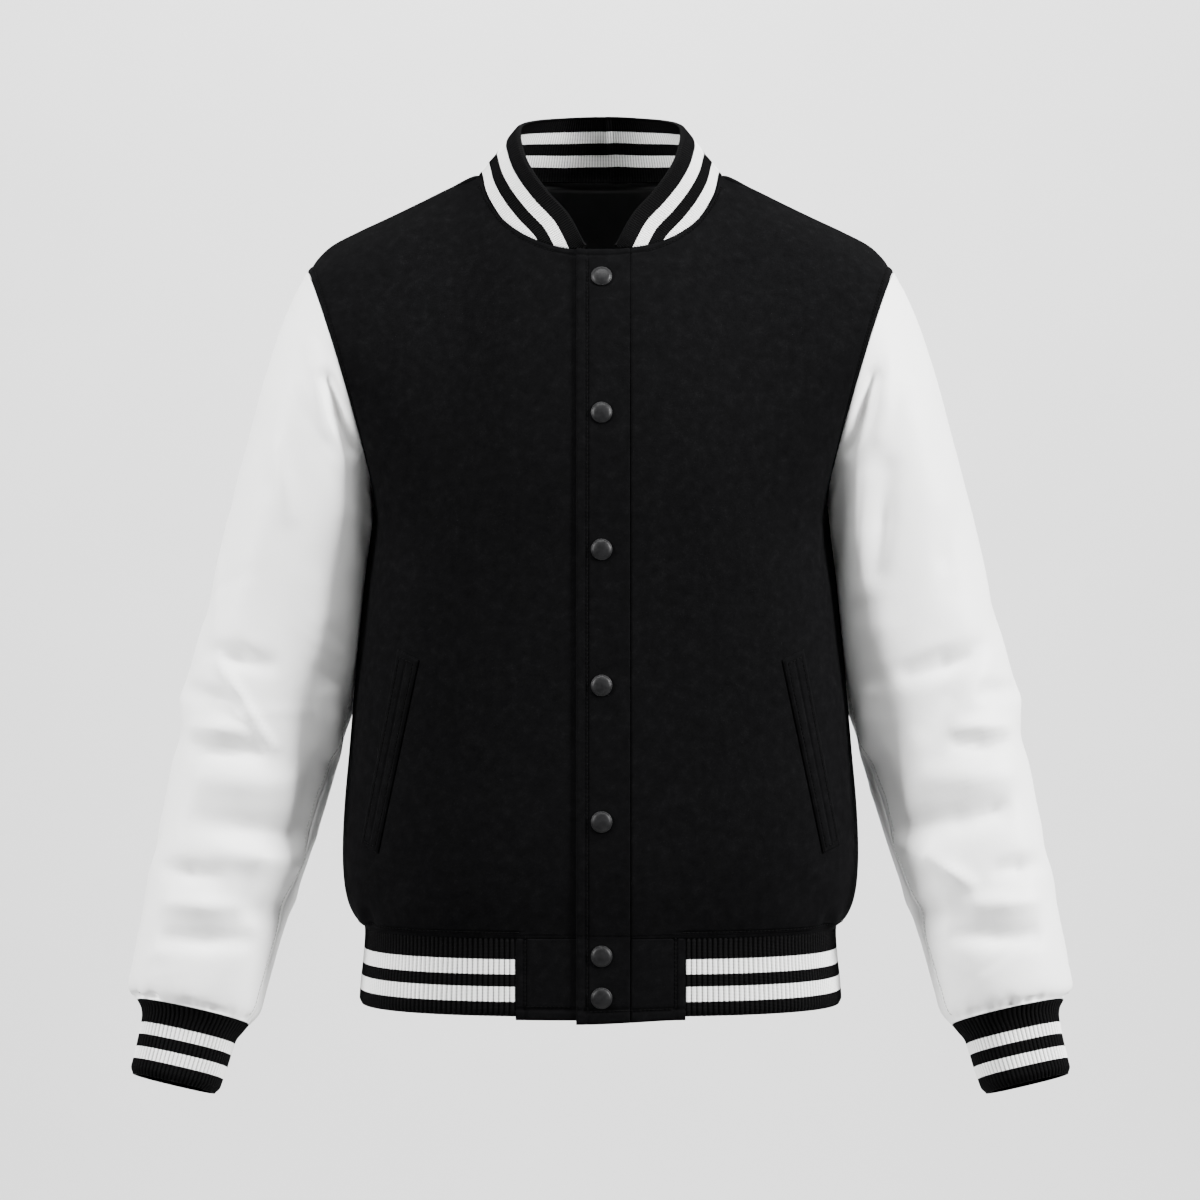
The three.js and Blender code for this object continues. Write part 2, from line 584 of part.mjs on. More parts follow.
// The path of the hem rib from the left tab, round the back, to the right tab.
function hemPath() {
  const start = (row) => shareAt(-1, TAB_END, row);
  return (share, row) => {
    const front = 1 - start(row);
    const total = 2 * front + 2;
    const along = share * total;
    if (along <= front) return bodyAt(-1, start(row) + along, row);
    if (along <= front + 2) return bodyAt(1, 1 - (along - front), row);
    return bodyAt(-1, -1 + (along - front - 2), row);
  };
}

function hemRib() {
  const at = hemPath();
  let girth = 0;
  for (let i = 0; i < 100; i += 1) {
    girth += length(minus(at((i + 1) / 100, 1).point, at(i / 100, 1).point));
  }
  return ribbed([0, HEM_ROW - 0.014], Math.round(girth / HEM_RIB_PITCH), 80, at, false);
}

// The neck seam as the panels have it: straight between their points, half of it from the
// front end to the middle of the back.
function neckSeam(side) {
  const row = TOP_ROW - 0.012;
  const front = side > 0 ? (u) => lappedAt(u, row).point : (u) => plainFront(-u, row).point;
  const start = side > 0 ? leftColumns(row)[0] : 0;
  const points = [front(start)];
  COLUMNS.filter((u) => u > start + 0.01 && u <= NECK_SHARE).forEach((u) => points.push(front(u)));
  COLUMNS.filter((u) => u < NECK_SHARE).reverse()
    .forEach((u) => points.push(plainBack(side * u, row).point));
  const first = side > 0 ? lappedAt(shareAt(-1, COLLAR_END, row), row).point
    : mix(points[0], points[1], COLLAR_END / Math.abs(points[1][0]));
  return side > 0 ? [first, ...points] : [first, ...points.slice(1)];
}

function alongPath(points, share) {
  const steps = points.slice(1).map((p, i) => length(minus(p, points[i])));
  let rest = share * steps.reduce((a, b) => a + b, 0);
  let i = 0;
  while (i < steps.length - 1 && rest > steps[i]) {
    rest -= steps[i];
    i += 1;
  }
  return mix(points[i], points[i + 1], rest / steps[i]);
}

function collar() {
  const seams = { 1: neckSeam(1), '-1': neckSeam(-1) };
  const full = COLLAR[COLLAR.length - 1].seam;
  const surface = (share, height) => {
    const side = share <= 0.5 ? 1 : -1;
    const part = share <= 0.5 ? 2 * share : 2 - 2 * share;
    const seam = alongPath(seams[side], part);
    const top = [0, 1, 2].map((axis) => through(COLLAR.map((row) => row.seam),
      COLLAR.map((row) => row.top[axis]), part * full));
    const lap = side > 0 ? lapLift(seam[0]) * ease(4, 12, seam[0]) : 0;
    const edge = plus(mirror(side, top), [0, -1, 0], lap);
    const run = unit(minus(alongPath(seams[side], Math.min(1, part + 0.01)),
      alongPath(seams[side], Math.max(0, part - 0.01))));
    const slant = minus(edge, seam);
    const up = unit(plus(slant, run, -dot(slant, run)));
    return mix(plus(seam, up, COLLAR_GAP + COLLAR_GAP_LAPPED * lap), edge, height);
  };
  const at = (share, height) => {
    const step = 0.004;
    const along = minus(surface(Math.min(1, share + step), height),
      surface(Math.max(0, share - step), height));
    const up = minus(surface(share, 1), surface(share, 0));
    const normal = unit(cross(up, along));
    const out = dot(normal, [surface(share, 0.5)[0], surface(share, 0.5)[1], 20]) < 0
      ? normal.map((c) => -c) : normal;
    const bulge = COLLAR_BULGE * 4 * height * (1 - height) * ease(0.1, 0.25, Math.min(share, 1 - share));
    return { point: plus(surface(share, height), out, bulge), normal: out };
  };
  return ribbed([0, 0.5, 1], Math.round(2 * full / COLLAR_RIB_PITCH), 60, at, false);
}

// A welt lies on the front between two slanting edges.
function welt(side) {
  const [a, b, c, d] = WELT.corners;
  const rowOf = (z) => {
    let lo = HEM_ROW;
    let hi = ARM_ROW;
    for (let i = 0; i < 30; i += 1) {
      const row = (lo + hi) / 2;
      if (PATCHES[-1](MIDDLE_COLUMN, row)[2] < z) lo = row;
      else hi = row;
    }
    return (lo + hi) / 2;
  };
  const at = (across, down) => {
    const left = mix(a, d, down);
    const right = mix(b, c, down);
    const [x, z] = mix(left, right, across);
    const row = rowOf(z);
    const { point, normal } = bodyAt(-1, shareAt(-1, side * x, row), row);
    return { point: plus(point, normal, WELT.thick + 0.4), normal };
  };
  return wallOf(span(0, 1, 6), () => span(0, 1, 2), at, WELT.thick);
}

function snap(z) {
  const row = span(0, TOP_ROW, 1200).reduce((best, r) => {
    const gap = (k) => Math.abs(PATCHES[-1](MIDDLE_COLUMN, k)[2] - z);
    return gap(r) < gap(best) ? r : best;
  }, 0);
  const { point, normal } = bodyAt(-1, shareAt(-1, SNAP.x, row), row, LAP_LIFT + SNAP.gap);
  const { radius, height, sides } = SNAP;
  const profile = [[0, 0], [radius, 0], [radius, 0.28 * height], [0.72 * radius, 0.78 * height],
    [0, height]].map(([r, h]) => new THREE.Vector2(r, h));
  const geometry = new THREE.LatheGeometry(profile, sides);
  const turn = new THREE.Quaternion().setFromUnitVectors(new THREE.Vector3(0, 1, 0),
    new THREE.Vector3(...normal));
  geometry.applyQuaternion(turn);
  geometry.translate(...point);
  return geometry;
}

const group = new THREE.Group();
group.name = 'varsity_jacket';

function add(name, colour, geometry) {
  const mesh = new THREE.Mesh(geometry, new THREE.MeshStandardMaterial(COLOURS[colour]));
  mesh.name = name;
  group.add(mesh);
}

add('front_left', 'wool', wallOf(BODY_ROW_LIST, leftColumns, lappedAt, WALL));
add('front_right', 'wool', wallOf(BODY_ROW_LIST, rightColumns, plainFront, WALL));
add('back', 'wool', wallOf(BODY_ROW_LIST, backColumns, plainBack, WALL));
const { front: FRONT_SEAM, back: BACK_SEAM } = SLEEVE_SEAMS;
add('top_sleeve_left', 'leather', sleevePanel(1, BACK_SEAM, FRONT_SEAM + 360));
add('top_sleeve_right', 'leather', sleevePanel(-1, BACK_SEAM, FRONT_SEAM + 360));
add('under_sleeve_left', 'leather', sleevePanel(1, FRONT_SEAM, BACK_SEAM));
add('under_sleeve_right', 'leather', sleevePanel(-1, FRONT_SEAM, BACK_SEAM));
add('collar', 'rib', collar());
add('cuff_left', 'rib', cuff(1));
add('cuff_right', 'rib', cuff(-1));
add('hem_rib', 'rib', hemRib());
add('hem_tab_left', 'wool', frontStrip(TAB_ROW_LIST, PLACKET_SEAM + 2 * HALF_SEAM, TAB_EDGE, 3,
  lappedAt));
add('hem_tab_right', 'wool', frontStrip(TAB_ROW_LIST, -TAB_EDGE, UNDERLAP_EDGE, 5, plainTab));
add('placket', 'wool', frontStrip([...TAB_ROW_LIST, ...BODY_ROW_LIST.slice(1)], PLACKET_EDGE,
  PLACKET_SEAM, 2, lappedAt));
add('pocket_welt_left', 'wool', welt(1));
add('pocket_welt_right', 'wool', welt(-1));
SNAP_HEIGHTS.forEach((z, i) => add(`snap_${i + 1}`, 'snap', snap(z)));

export default group;
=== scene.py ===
import math

import bpy
import numpy as np
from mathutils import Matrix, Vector


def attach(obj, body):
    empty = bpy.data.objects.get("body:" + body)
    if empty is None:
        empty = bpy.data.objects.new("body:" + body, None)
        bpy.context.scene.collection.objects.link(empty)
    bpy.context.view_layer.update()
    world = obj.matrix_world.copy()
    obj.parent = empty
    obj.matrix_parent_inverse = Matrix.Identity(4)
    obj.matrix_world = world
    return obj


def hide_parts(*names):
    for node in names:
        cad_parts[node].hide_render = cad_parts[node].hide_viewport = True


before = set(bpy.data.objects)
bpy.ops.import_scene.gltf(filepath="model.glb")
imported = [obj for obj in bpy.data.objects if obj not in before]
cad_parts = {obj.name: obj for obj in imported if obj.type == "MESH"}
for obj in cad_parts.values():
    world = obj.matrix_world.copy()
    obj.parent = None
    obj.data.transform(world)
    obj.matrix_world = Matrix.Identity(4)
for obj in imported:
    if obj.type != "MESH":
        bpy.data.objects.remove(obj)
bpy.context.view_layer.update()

# Varsity jacket in its worn form. Lengths in this script are millimetres until a mesh is made.
# The front faces minus Y, the wearer's left is plus X.

MM = 0.001
# Thickness of wool and leather, gap at the sleeve's seam, and how square a section of the body is.
WALL = 2.0
SEAM = 0.45
ROUNDNESS = 2.6

# Places across the front, by x: the free edge and the seam of the placket, the hidden edge of the
# other front, the outer edge of a tab of the waistband and the start of the rib beside it.
PLACKET_EDGE = -18.7
PLACKET_SEAM = 22.6
UNDERLAP_EDGE = 19.0
TAB_EDGE = 65.2
TAB_END = 65.4
# How much higher the upper front lies, where that fades, and how much lower its bottom hangs.
LAP_LIFT = WALL + 0.4
LAP_FADE = 34.0
LAP_DROP = 3.0
TAB_DROP = 2.5

# The armhole, and how the grid of a face is shared out in columns and rows.
SHOULDER_TIP = np.array([235.0, 0, -75])
UNDERARM = np.array([181.0, 0, -258])
ARMHOLE_DEPTH = 72.0
ARMHOLE_BEND = 8.0
NECK_SHARE = 0.42
NECK_COLUMNS = 5
SHOULDER_COLUMNS = 6
ARMHOLE_ROWS = 12
RELAX_PASSES = 24
RELAX_ABOVE_HEM = 7

# Level sections of the body: height, half width, depth of the front, depth of the back.
SECTIONS = np.array([
    (-657, 192.4, 131.5, 112.5), (-634, 190.5, 131.5, 111.5), (-613, 188.3, 131.5, 111),
    (-597, 188, 131.5, 111.5), (-593, 193, 132, 115), (-587, 197.5, 132.6, 118),
    (-577, 201.5, 133.8, 120.5), (-560, 204.5, 135.4, 122.3), (-535, 205.5, 136.5, 123),
    (-500, 204, 136.2, 123), (-450, 200, 134.5, 122.5), (-400, 195.3, 132.5, 122),
    (-350, 190.3, 130, 121), (-300, 185.8, 128, 120), (-258, 181, 126, 118.5)], float)
BELOW_HEM = [-657, -637, -617, -597]
BODY_ROWS = [-593, -587, -577, -560, -535, -500, -460, -420, -380, -340, -300]
RISE_AT_SIDE = {-380: 8, -340: 21, -300: 42}
HEM_ROW = len(BELOW_HEM) - 1
TOP_ROW = HEM_ROW + len(BODY_ROWS) + ARMHOLE_ROWS
ARM_ROW = TOP_ROW - ARMHOLE_ROWS

FRONT_LINE = [(0, -128, -300), (0, -124.5, -240), (0, -117, -180), (0, -105, -120),
              (0, -94.5, -85), (0, -86, -65.5)]
BACK_LINE = [(0, 120, -300), (0, 119.5, -240), (0, 118, -180), (0, 112.5, -120),
             (0, 102, -60), (0, 91, -20), (0, 78, 7)]
FRONT_NECK = [(0, -86, -65.5), (12.8, -85.2, -65), (34, -79.5, -61.8), (48, -72.5, -56.5),
              (68.7, -56, -45), (84, -35, -28), (92.5, -17, -13), (98, 5, 3)]
BACK_NECK = [(0, 78, 7), (30, 75, 7), (60, 62, 6.6), (84, 39, 5.4), (98, 5, 3)]
SHOULDER = [(98, 5, 3), (125, 5, -9), (158, 4, -25.5), (196, 2.5, -43.5), (215, 1.5, -54),
            (229, 0.5, -64), (235, 0, -75)]

# Rings of a sleeve: outermost x and z, innermost x and z, middle y, depth of front and back,
# lift of the front in degrees.
SLEEVE = np.array([
    (235, -75, 181, -258, 0, 72, 72, 0), (252, -110, 182.5, -277, 2, 75, 76, 0),
    (266, -152, 183, -300, 4, 78, 80, 0), (281, -207, 181.5, -325, 6, 79, 82, 0),
    (298, -271, 182.5, -355, 8, 79, 82, 1), (311, -325, 186.5, -388, 8, 77, 80, 3),
    (322, -370, 194.5, -417, 5, 75, 77, 6), (331, -410, 205.5, -447, 0, 72, 73, 9),
    (338, -452, 214, -482, -8, 68, 69, 11), (347, -505, 228.5, -531, -19, 64, 65, 11.5),
    (356, -545, 240.5, -567, -28, 61, 61, 11.5), (361, -583, 252, -602, -36, 58, 58, 11.5),
    (368, -622, 262, -640, -45, 56, 56, 11.5), (371, -643, 267.5, -661, -50, 53, 53, 11.5),
    (364.5, -651.5, 275.5, -671, -52.5, 46, 46, 11.5)], float)
CUFF = np.array([
    (363.8, -652.2, 276.4, -671.4, -52.6, 45, 45, 11.5),
    (360.4, -659, 281.5, -677.5, -54.4, 41, 41, 11.5),
    (360, -668, 286.8, -684.5, -56.5, 38.5, 38.5, 11.5),
    (363.6, -688, 292.8, -704, -61, 37.6, 37.6, 11.5),
    (368.2, -708, 299.5, -724, -66, 37, 37, 11.5)], float)
# A sleeve's last ring, its least distance from the body, how much fuller its section is between
# its axes, the degrees of its two seams and between two points, the length that one ring and one
# degree take up, and the numbers of puckers at the cuff and of small creases.
LAST_RING = len(SLEEVE) - 1
SLEEVE_CLEAR = 1.0
FULLNESS = 0.055
SLEEVE_SEAMS = (165, 255)
ANGLE_STEP = 3.0
RING_STEP = 41.0
DEGREE_STEP = 1.15
PUCKERS = 52
CREASES = 70

# Folds of a sleeve: ring and angle at both ends, width, lift, and for some how steep one side is.
# Angle 0 is the outer side, 90 the front and 180 the inner side.
SLEEVE_FOLDS = [
    (0.8, 150, 2, 158, 10, 4), (7.2, 150, 7.4, 185, 12, 2.5), (1.0, 262, 2.4, 205, 12, -4),
    (6.3, 215, 6.9, 275, 12, 6, 0.5), (7.2, 205, 7.6, 262, 11, -6, 0.6),
    (9.2, 240, 8.9, 290, 16, -5, 0.5), (11.0, 225, 11.2, 270, 14, -5.5, 0.5),
    (10.2, 200, 10.4, 236, 12, 3.5), (4.2, 320, 5.2, 350, 24, -3), (12.4, 250, 12.3, 280, 9, -2.4),
    (7.0, 0, 7.3, 26, 12, 3.5), (7.9, 4, 8.0, 30, 10, -3.5), (9.9, 0, 9.7, 24, 14, -3),
    (5.2, 8, 5.8, 30, 14, -2.5)]

# Folds on the front of each sleeve as it is seen: x and z at both ends, width, lift.
# Key 1 is the wearer's left sleeve, key -1 the right one with its x turned positive.
FRONT_FOLDS = {
    1: [(213, -164, 194, -217, 6.5, -10), (226, -147, 218, -210, 7, 4), (225, -236, 216, -314, 9, -6),
        (207, -244, 201, -330, 10, 5), (271, -283, 274, -326, 13, -3.5), (218, -338, 218, -380, 14, 4),
        (243, -395, 296, -377, 9, -10), (290, -391, 256, -437, 10, -4.5), (300, -384, 279, -425, 9, 4),
        (300, -409, 326, -408, 7, -6), (279, -438, 316, -437, 7, 6.5), (280, -449, 313, -448, 7, -8),
        (257, -476, 319, -474, 11, 6), (245, -514, 310, -503, 11, -8), (300, -503, 315, -498, 6, -4),
        (241, -531, 269, -539, 10, 6), (257, -540, 287, -558, 6, 7), (243, -581, 280, -583, 11, -6),
        (312, -547, 340, -544, 8, -7), (292, -574, 335, -572, 8, 7), (277, -598, 335, -597, 8, -8),
        (220, -469, 232, -517, 9, -6), (213, -414, 211, -450, 9, 6)],
    -1: [(214, -166, 194, -217, 6.5, -10), (227, -139, 213, -205, 7, 4), (253, -217, 243, -270, 8, 3),
        (203, -236, 194, -306, 14, 4), (217, -330, 217, -378, 14, 4), (303, -378, 262, -388, 8, -8),
        (300, -384, 257, -452, 4.5, 6), (322, -409, 284, -419, 7, -7), (316, -437, 281, -440, 7, 6.5),
        (316, -452, 267, -456, 7, -8), (308, -476, 250, -481, 12, 6), (309, -511, 242, -520, 12, -8),
        (293, -533, 242, -542, 11, 8), (336, -547, 301, -552, 8, -7), (334, -573, 284, -577, 8, 7),
        (334, -600, 277, -601, 8, -8), (281, -581, 246, -576, 12, -6), (215, -414, 213, -450, 9, 6),
        (222, -469, 232, -517, 9, -6), (301, -306, 303, -375, 4, 1.6)]}

# Folds of the body: face, x and z at both ends, width, lift.
BODY_FOLDS = [
    (-1, 178, -262, 120, -330, 22, -2.2), (-1, -178, -262, -126, -318, 20, -2),
    (-1, 150, -560, 186, -588, 13, -1.8), (-1, -154, -556, -188, -588, 14, -2),
    (1, 150, -300, 60, -360, 28, -2.6), (1, -146, -310, -50, -380, 30, -2.4),
    (1, 120, -530, 140, -592, 18, -2.2), (1, -60, -520, -84, -592, 20, 2),
    (1, -150, -540, -140, -594, 16, -2),
    (-1, -184, -578, -178, -596, 3.5, -2.6), (-1, -190, -576, -186, -594, 3.5, 2.0),
    (-1, 180, -580, 174, -596, 3.5, -2.4), (-1, 187, -578, 183, -595, 3.5, 1.8),
    (1, -176, -574, -168, -597, 5, -2.4), (1, 170, -572, 160, -597, 5, -2.2)]

# The collar: distance along the neck seam from the front end, then x, y and z of its top edge.
# The row before the last is the middle of the back, the last one lies beyond it.
COLLAR = np.array([
    (0, 12.4, -86.6, -61.8), (24, 17, -80.5, -51), (48, 25.4, -70, -35), (79, 42, -55, -15.6),
    (112, 54.9, -40, 2.6), (134, 61.5, -27, 16), (164, 66.5, 0, 38.5), (186, 64.5, 16, 46),
    (212, 53.5, 37, 51.5), (248, 29, 59.5, 56), (286, 0, 65, 57.5), (324, -29, 59.5, 56)], float)
COLLAR_END = 12.4
COLLAR_BULGE = 2.5
COLLAR_GAP = 0.5

# A welt: its corners as seen, x and z, its width and length, how far it stands out, its thickness.
WELT_CORNERS = [(156.9, -376.3), (140, -384), (172, -534), (186, -528)]
WELT_WIDTH = 16.5
WELT_LENGTH = 152.0
WELT_LIFT = 2.2
WELT_THICK = 1.8

# Snaps: heights, x, and radius and height along the outline of a cap.
SNAP_HEIGHTS = [-88, -194, -299, -403, -507, -610, -642]
SNAP_X = 0.8
SNAP_SIDES = 48
SNAP_PROFILE = [(7.6, 0), (8.1, 0.25), (8.2, 0.7), (8.0, 1.1), (7.6, 1.3), (7.3, 1.3), (7.0, 1.5),
                (6.4, 1.95), (5.4, 2.35), (4.2, 2.65), (2.8, 2.85), (1.4, 2.96), (0.3, 3.0)]

# Distances of the sewn lines from the armhole, neck and hem seams, from the free edge of the
# placket, from the bottom, from the outer edge of a tab and from the edge of a welt.
ARMHOLE_LINE = 7.2
NECK_LINE = 7.6
HEM_LINE = 7.0
PLACKET_LINE = 8.6
BOTTOM_LINE = 8.0
TAB_LINE = 7.5
WELT_LINE = 3.0


def ease(lo, hi, x):
    t = np.clip((np.asarray(x, float) - lo) / (hi - lo), 0, 1)
    return t * t * (3 - 2 * t)


def unit(v):
    return v / np.maximum(np.linalg.norm(v, axis=-1, keepdims=True), 1e-9)


def turned_out(normal, out):
    return normal * np.where((normal * out).sum(-1, keepdims=True) < 0, -1, 1)


def through(stations, values, x):
    """Smooth curve through values at uneven stations, for an array of places."""
    h = np.diff(stations)
    rise = np.diff(values) / h
    slope = np.empty(len(stations))
    slope[0], slope[-1] = rise[0], rise[-1]
    slope[1:-1] = (rise[1:] * h[:-1] + rise[:-1] * h[1:]) / (h[:-1] + h[1:])
    i = np.clip(np.searchsorted(stations, x) - 1, 0, len(stations) - 2)
    t = (x - stations[i]) / h[i]
    jump = values[i + 1] - values[i]
    bend = (slope[i] * h[i] - jump) * (1 - t) + (jump - slope[i + 1] * h[i]) * t
    return values[i] + jump * t + t * (1 - t) * bend


def lengths(points, axis=0):
    """Distance of each point of a path or grid from its first edge, along an axis."""
    steps = np.diff(points, axis=axis, prepend=np.take(points, [0], axis))
    return np.cumsum(np.linalg.norm(steps, axis=-1), axis=axis)


def curve(points):
    p = np.asarray(points, float)
    stations = lengths(p)
    return lambda t: np.stack([through(stations, p[:, k], np.asarray(t) * stations[-1])
                               for k in range(3)], -1)


def body_sizes(z):
    """Half width of the body at a height, and the depth of its front and back."""
    return [through(SECTIONS[:, 0], SECTIONS[:, k], z) for k in (1, 2, 3)]


def section(face, share, z):
    """Points of a level section of a face, share 0 in its middle and 1 at the side."""
    half, front, back = body_sizes(z)
    depth = front if face < 0 else back
    angle = np.asarray(share) * math.pi / 2
    s, c = np.sin(np.abs(angle)), np.maximum(np.cos(angle), 0)
    r = (s ** ROUNDNESS + c ** ROUNDNESS) ** (-1 / ROUNDNESS)
    return np.stack([np.sign(angle) * half * s * r, face * depth * c * r, z + 0 * s], -1)


def body_half_at(y, z):
    half, front, back = body_sizes(z)
    depth = np.where(y < 0, front, back)
    return half * np.maximum(0, 1 - np.abs(y / depth) ** ROUNDNESS) ** (1 / ROUNDNESS)


COLUMNS = np.concatenate([NECK_SHARE * np.arange(NECK_COLUMNS) / NECK_COLUMNS,
                          NECK_SHARE + (1 - NECK_SHARE) * np.arange(SHOULDER_COLUMNS + 1)
                          / SHOULDER_COLUMNS])
MIDDLE_COLUMN = len(COLUMNS) - 1


def relaxed(grid, first_row):
    """Evens out the inner points of a grid from one row up without shrinking it."""
    for n in range(RELAX_PASSES):
        amount = -0.51 if n % 2 else 0.5
        around = (grid[:-2, 1:-1] + grid[2:, 1:-1] + grid[1:-1, :-2] + grid[1:-1, 2:]) / 4
        moved = grid.copy()
        moved[1:-1, 1:-1] += (around - grid[1:-1, 1:-1]) * amount
        moved[:first_row] = grid[:first_row]
        grid = moved
    return grid


def body_grid(face):
    """Points of a face: level rows below the armhole, then rows between its four edges."""
    middle = curve(FRONT_LINE if face < 0 else BACK_LINE)
    neck = curve(FRONT_NECK if face < 0 else BACK_NECK)
    shoulder = curve(SHOULDER)
    top = np.where((COLUMNS <= NECK_SHARE)[:, None], neck(COLUMNS / NECK_SHARE),
                   shoulder((COLUMNS - NECK_SHARE) / (1 - NECK_SHARE)))
    rows = [section(face, COLUMNS, z + RISE_AT_SIDE.get(z, 0) * COLUMNS ** 6)
            for z in BELOW_HEM + BODY_ROWS]
    bottom = rows[ARM_ROW]
    centre = (SHOULDER_TIP + UNDERARM) / 2
    u = COLUMNS[:, None]
    for j in range(1, ARMHOLE_ROWS + 1):
        v = j / ARMHOLE_ROWS
        rim = centre + (UNDERARM - centre) * math.cos(math.pi * v)
        rim = rim + np.array([-ARMHOLE_BEND, face * ARMHOLE_DEPTH, 0]) * math.sin(math.pi * v)
        along = bottom + (top - bottom) * v
        across = middle(v) + (rim - middle(v)) * u
        low = bottom[0] + (bottom[-1] - bottom[0]) * u
        high = top[0] + (top[-1] - top[0]) * u
        rows.append(along + across - (low + (high - low) * v))
    half = np.array(rows)
    other = half[:, :0:-1] * np.array([-1, 1, 1])
    return relaxed(np.concatenate([other, half], axis=1), HEM_ROW + RELAX_ABOVE_HEM)


# The points of each face, with one more beyond each edge.
PATCHES = {face: np.pad(body_grid(face), ((1, 1), (1, 1), (0, 0)), mode="reflect",
                        reflect_type="odd") for face in (-1, 1)}


def patch_at(face, column, row):
    """A point of a face, smooth between the points of its grid."""
    g = PATCHES[face]
    column, row = np.broadcast_arrays(np.asarray(column, float), np.asarray(row, float))
    i = np.clip(np.floor(column), 0, g.shape[1] - 4).astype(int)
    j = np.clip(np.floor(row), 0, g.shape[0] - 4).astype(int)

    def weights(t):
        return [0.5 * t * (-1 + t * (2 - t)), 1 + 0.5 * t * t * (-5 + 3 * t),
                0.5 * t * (1 + t * (4 - 3 * t)), 0.5 * t * t * (t - 1)]

    wi, wj = weights(column - i), weights(row - j)
    out = np.zeros(column.shape + (3,))
    for a in range(4):
        for b in range(4):
            out += (wj[a] * wi[b])[..., None] * g[j + a, i + b]
    return out


def column_of(u):
    return MIDDLE_COLUMN + np.sign(u) * np.interp(np.abs(u), COLUMNS, np.arange(len(COLUMNS)))


def swell(folds, places, scale=(1, 1)):
    """Height of all folds at places, each a soft swell along a line, with one side steeper."""
    total = np.zeros(places.shape[:-1])
    sx, sy = scale
    for x0, y0, x1, y1, width, lift, *steep in folds:
        a = np.array([x0 * sx, y0 * sy])
        along = np.array([x1 * sx, y1 * sy]) - a
        away = places * np.array([sx, sy]) - a
        t = np.clip((away @ along) / (along @ along), 0, 1)
        off = np.linalg.norm(away - t[..., None] * along, axis=-1) / width
        if steep:
            turn = away[..., 0] * along[1] - away[..., 1] * along[0]
            off = off * (1 + (1 / steep[0] - 1) * (0.5 + 0.5 * np.tanh(turn / width / 12)))
        total += lift * np.exp(-off * off) * (1 - 0.5 * np.abs(2 * t - 1))
    return total


def body_normal(face, u, row):
    step = 0.1
    end = 2 * MIDDLE_COLUMN
    c = column_of(u)
    across = (patch_at(face, np.minimum(c + step, end), row)
              - patch_at(face, np.maximum(c - step, 0), row))
    up = (patch_at(face, c, np.minimum(row + step, TOP_ROW))
          - patch_at(face, c, np.maximum(row - step, 0)))
    return unit(np.cross(across, up)) * (1 if face < 0 else -1)


def lap_lift(x):
    return LAP_LIFT * (1 - ease(PLACKET_SEAM, PLACKET_SEAM + LAP_FADE, x))


def body_at(face, u, row, lapped=False, lift=0.0, hung=0):
    """Outer surface of the body and its outward direction."""
    u, row = np.broadcast_arrays(np.asarray(u, float), np.asarray(row, float))
    base = patch_at(face, column_of(u), row)
    normal = body_normal(face, u, row)
    folds = [f[1:] for f in BODY_FOLDS if f[0] == face]
    quiet = (ease(HEM_ROW, HEM_ROW + 1, row) * ease(TOP_ROW, TOP_ROW - 3, row)
             * ease(0.999, 0.93, np.abs(u)))
    height = swell(folds, base[..., [0, 2]]) * quiet + lift
    drop = TAB_DROP * hung
    if lapped:
        height = height + lap_lift(base[..., 0])
        drop = TAB_DROP + LAP_DROP * (1 - ease(PLACKET_EDGE, TAB_EDGE, base[..., 0]))
    lower = (drop * np.maximum(0, 1 - row))[..., None] * np.array([0, 0, 1.0])
    return base - lower + normal * np.asarray(height)[..., None], normal


def halved(lo, hi, is_low):
    """Where is_low stops being true between lo and hi, found by halving."""
    for _ in range(30):
        middle = (lo + hi) / 2
        low = is_low(middle)
        lo, hi = np.where(low, middle, lo), np.where(low, hi, middle)
    return (lo + hi) / 2


def share_at(face, x, row):
    """The share of a face at which its surface stands at a given x."""
    row = np.asarray(row, float)
    furthest = np.full(row.shape, 0.97)
    return halved(-furthest, furthest, lambda u: patch_at(face, column_of(u), row)[..., 0] < x)


def row_at(z):
    """The row of the front at which the middle of its surface stands at height z."""
    z = np.asarray(z, float)
    column = np.full(z.shape, float(MIDDLE_COLUMN))
    return halved(np.zeros(z.shape), np.full(z.shape, float(TOP_ROW)),
                  lambda row: patch_at(-1, column, row)[..., 2] < z)


# Meshes


def add(name, data):
    obj = bpy.data.objects.new(name, data)
    bpy.context.scene.collection.objects.link(obj)
    return obj


def make_mesh(name, points, faces, materials, uv=None, values=None, index=None):
    mesh = bpy.data.meshes.new(name)
    mesh.from_pydata((np.asarray(points) * MM).tolist(), [], faces)
    for material in materials:
        mesh.materials.append(material)
    if index is not None:
        mesh.polygons.foreach_set("material_index", index)
    if uv is not None:
        layer = mesh.uv_layers.new(name="cloth")
        loops = np.empty(len(mesh.loops), int)
        mesh.loops.foreach_get("vertex_index", loops)
        layer.data.foreach_set("uv", (uv[loops] * MM).astype(np.float32).ravel())
    for key, data in (values or {}).items():
        attribute = mesh.attributes.new(key, "FLOAT", "POINT")
        attribute.data.foreach_set("value", np.asarray(data, np.float32).ravel())
    mesh.polygons.foreach_set("use_smooth", np.full(len(mesh.polygons), True))
    mesh.update()
    return add(name, mesh)


def grid_faces(h, w, wrap, start, flip):
    """Quads between h rows of w points, closed round if wrap, numbered from start."""
    j, i = np.meshgrid(np.arange(h - 1), np.arange(w if wrap else w - 1), indexing="ij")
    k = (i + 1) % w
    quads = np.stack([j * w + i, j * w + k, (j + 1) * w + k, (j + 1) * w + i], -1).reshape(-1, 4)
    return (quads[:, ::-1] if flip else quads) + start


